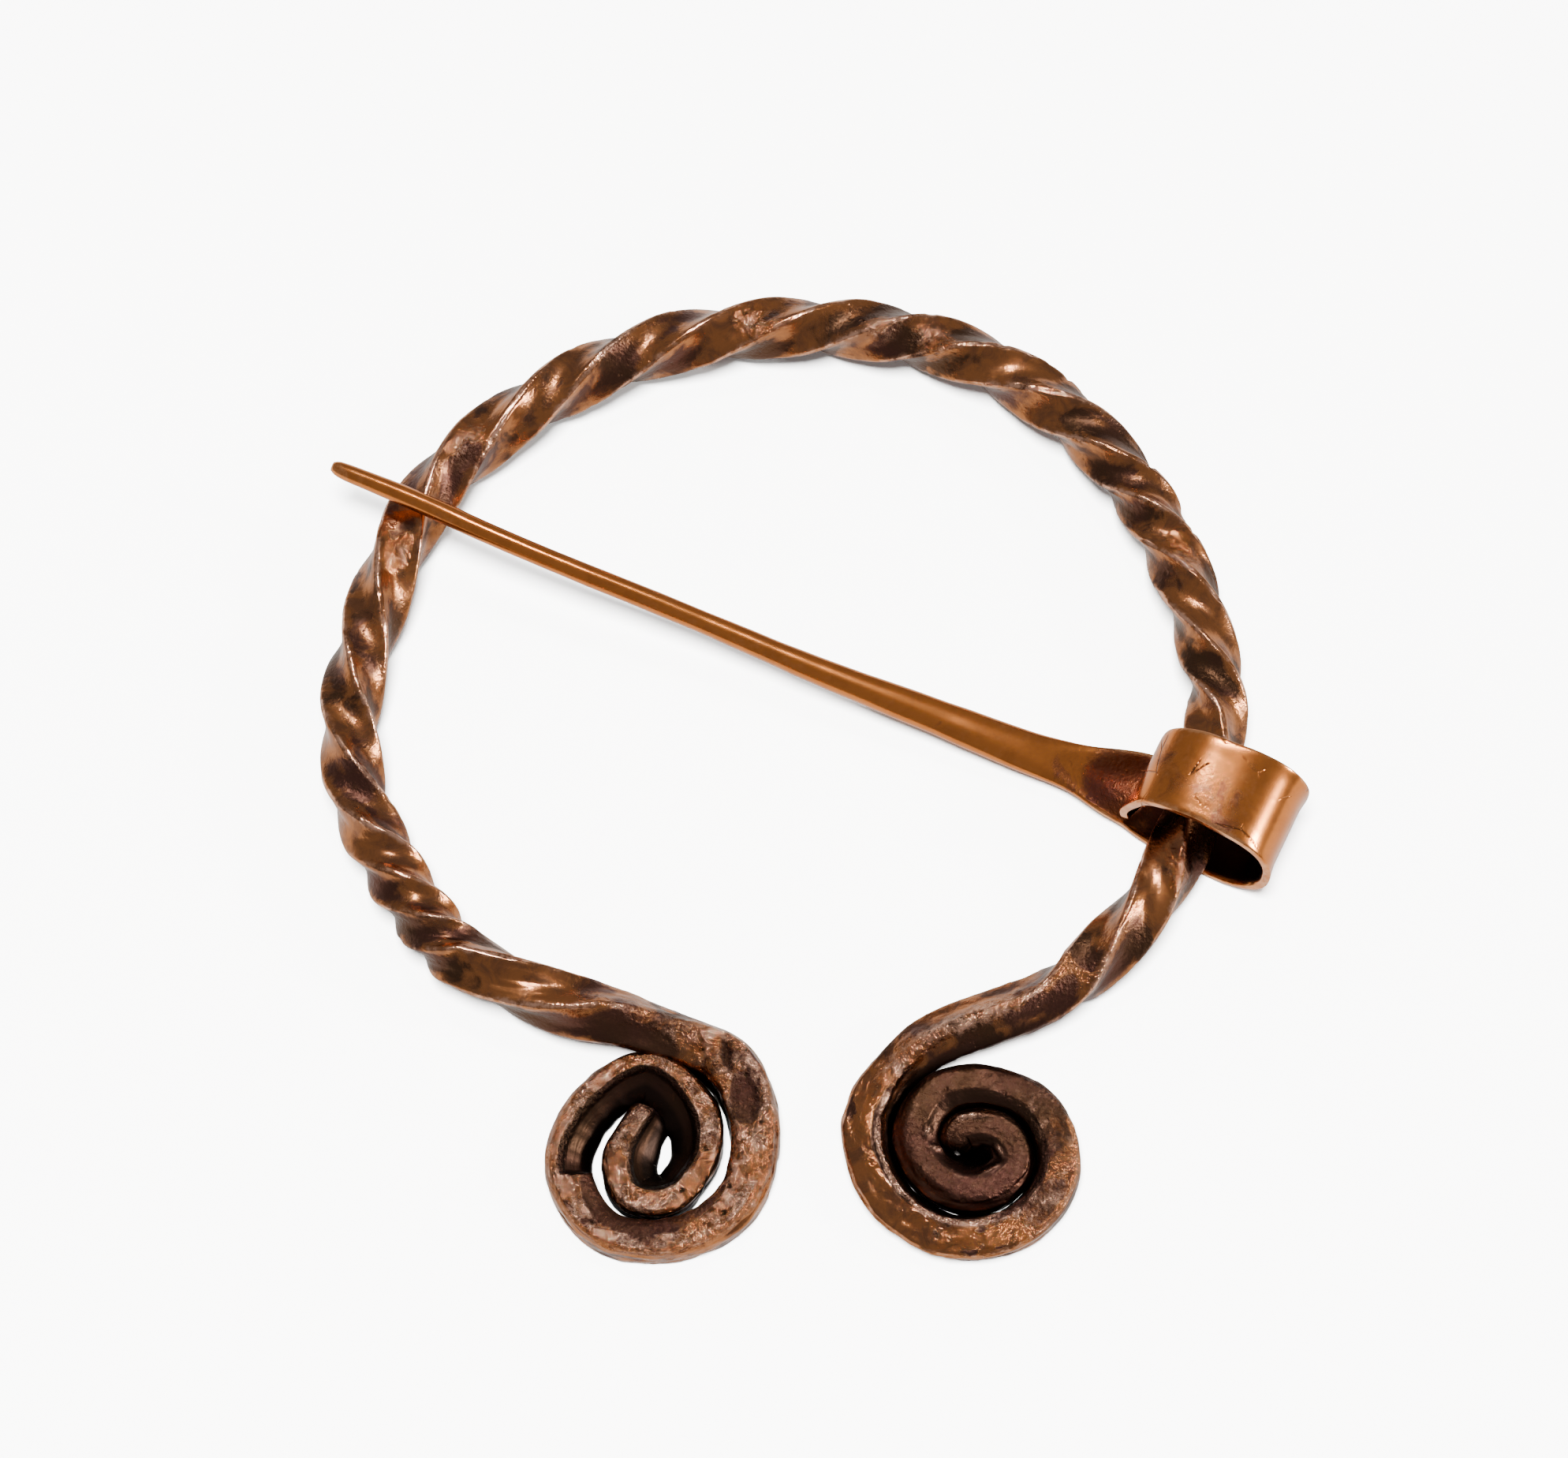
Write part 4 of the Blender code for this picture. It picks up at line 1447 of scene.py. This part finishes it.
        # Painted shade: the loop's crown is made darker to dull the lamp's reflection on it.
        crown = in_loop * bell(round_loop - 19.0, 6.0) * (face < 0)
        tip = bell(own[:, 0], 2.5)
        wear_and_glint = 0.12 + 0.70 * edge + 0.30 * blotch + 0.6 * tip - 0.8 * inside - 0.5 * hollow
        patina_and_shade = 0.02 + 0.40 * blotch * flat + 0.9 * inside + 0.75 * hollow + 0.16 * crown
        note(thing, "wear_and_glint", np.clip(wear_and_glint, 0, 1))
        note(thing, "patina_and_shade", np.clip(patina_and_shade, 0, 1))
        note(thing, "grain", np.clip(0.03 + 0.10 * blotch * flat + 0.6 * hollow, 0.02, 1))
        # Painted shade: near-black inside the loop.
        note(thing, "painted_shade", 0.75 * np.clip(inside, 0, 1))
        note(thing, "crack", np.clip(in_loop * (0.55 + blotch) * (1 - inside), 0, 1))


@dataclass(frozen=True)
class Lamp:
    """A round soft lamp: its place and width in metres, its power in watts and its tint."""

    name: str
    place: tuple[float, float, float]
    size: float
    power: float
    tint: tuple[float, float, float]
    mirrored: bool = True

    def hang(self) -> None:
        """Hang the lamp so that it looks at the brooch."""
        data = bpy.data.lights.new(self.name, "AREA")
        data.shape = "DISK"
        data.size = self.size
        data.energy = self.power
        data.color = self.tint
        lamp = bpy.data.objects.new(self.name, data)
        lamp.location = self.place
        lamp.rotation_euler = Vector(self.place).to_track_quat("Z", "Y").to_euler()
        lamp.visible_glossy = self.mirrored
        bpy.context.scene.collection.objects.link(lamp)


@dataclass
class Studio:
    """White table, soft light and the camera of the photograph.

    The table and the room are paler for the camera than for other rays, so that the
    copper doesn't mirror a white table all over. The overhead lamp lights the table and
    doesn't show in the copper.
    """

    view_tilt: float = 22.0
    view_angle: float = 20.0
    mm_per_pixel: float = 0.0645
    target: tuple[float, float, float] = (0.0, 1.46, 4.0)
    floor_half_m: float = 1.2
    floor_rough: float = 0.9
    floor_seen: tuple[Colour, Colour] = ((0.885, 0.885, 0.885, 1), (0.91, 0.91, 0.915, 1))
    floor_mirrored: Colour = (0.13, 0.127, 0.124, 1)
    room_seen: Colour = (0.85, 0.85, 0.86, 1)
    room_mirrored: Colour = (0.34, 0.34, 0.35, 1)
    lamps: tuple[Lamp, ...] = (
        Lamp("overhead_lamp", (-0.045, -0.144, 0.887), 0.28, 86.0, (1, 0.99, 0.97), mirrored=False),
        Lamp("low_right_lamp", (0.704, -0.04, 0.376), 0.12, 5.4, (1, 0.98, 0.95)),
        Lamp("high_back_lamp", (0.0, 0.338, 0.834), 0.09, 3.6, (1, 0.99, 0.98)),
    )

    def camera(self) -> None:
        """Set the camera at the photograph's viewing angle."""
        half = math.radians(self.view_angle / 2)
        away = PHOTO_WIDTH / 2 / math.tan(half) * self.mm_per_pixel
        tilt = math.radians(self.view_tilt)
        back = Vector((0, -math.sin(tilt), math.cos(tilt)))
        target = Vector(self.target) - Vector((*FOOTPRINT_MIDDLE, 0))
        data = bpy.data.cameras.new("photo_camera")
        data.sensor_fit = "HORIZONTAL"
        data.angle = 2 * half
        data.clip_start = 0.01
        data.dof.use_dof = False
        camera = bpy.data.objects.new("photo_camera", data)
        right = Vector((1, 0, 0))
        axes = Matrix((right, back.cross(right), back)).transposed()
        camera.matrix_world = Matrix.Translation((target + back * away) * MM) @ axes.to_4x4()
        bpy.context.scene.collection.objects.link(camera)
        bpy.context.scene.camera = camera

    def floor(self) -> None:
        """Lay the white table."""
        bpy.ops.object.select_all(action="DESELECT")
        bpy.ops.mesh.primitive_plane_add(size=2 * self.floor_half_m, location=(0, 0, 0))
        floor = bpy.context.object
        floor.name = "white_table"
        paper = bpy.data.materials.new("white_paper")
        paper.use_nodes = True
        sheet = Sheet(paper.node_tree)
        shader = paper.node_tree.nodes["Principled BSDF"]
        place = sheet.add("ShaderNodeTexCoord").outputs["Object"]
        tone = sheet.mix(sheet.noise(place, 6.0, 2.0, 0.5), *self.floor_seen)
        seen = sheet.add("ShaderNodeLightPath").outputs["Is Camera Ray"]
        sheet.feed(shader.inputs["Base Color"], sheet.mix(seen, self.floor_mirrored, tone))
        shader.inputs["Roughness"].default_value = self.floor_rough
        floor.data.materials.append(paper)

    def light(self) -> None:
        """Hang the lamps and light the room."""
        for lamp in self.lamps:
            lamp.hang()
        world = bpy.data.worlds.new("pale_room")
        world.use_nodes = True
        sheet = Sheet(world.node_tree)
        ground = world.node_tree.nodes["Background"]
        seen = sheet.add("ShaderNodeLightPath").outputs["Is Camera Ray"]
        sheet.feed(ground.inputs["Color"], sheet.mix(seen, self.room_mirrored, self.room_seen))
        ground.inputs["Strength"].default_value = 1.0
        bpy.context.scene.world = world


def main() -> None:
    """Build the brooch and its studio, and report each piece."""
    logging.basicConfig(level=logging.INFO, format="%(name)s: %(message)s")
    groups = PatinaMottle().build(), HammeredGrain().build(), FineCracks().build()
    ring = TwistedRing().build(RING_FINISH.material(*groups))
    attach(ring, "ring")
    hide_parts("ring")
    LOG.info("%s: %d faces", ring.name, len(ring.data.polygons))
    pin = SlidingPin().build(PIN_FINISH.material(*groups))
    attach(pin, "pin")
    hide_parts("pin")
    LOG.info("%s: %d faces", pin.name, len(pin.data.polygons))
    studio = Studio()
    studio.floor()
    studio.light()
    studio.camera()


if __name__ == "__main__":
    main()
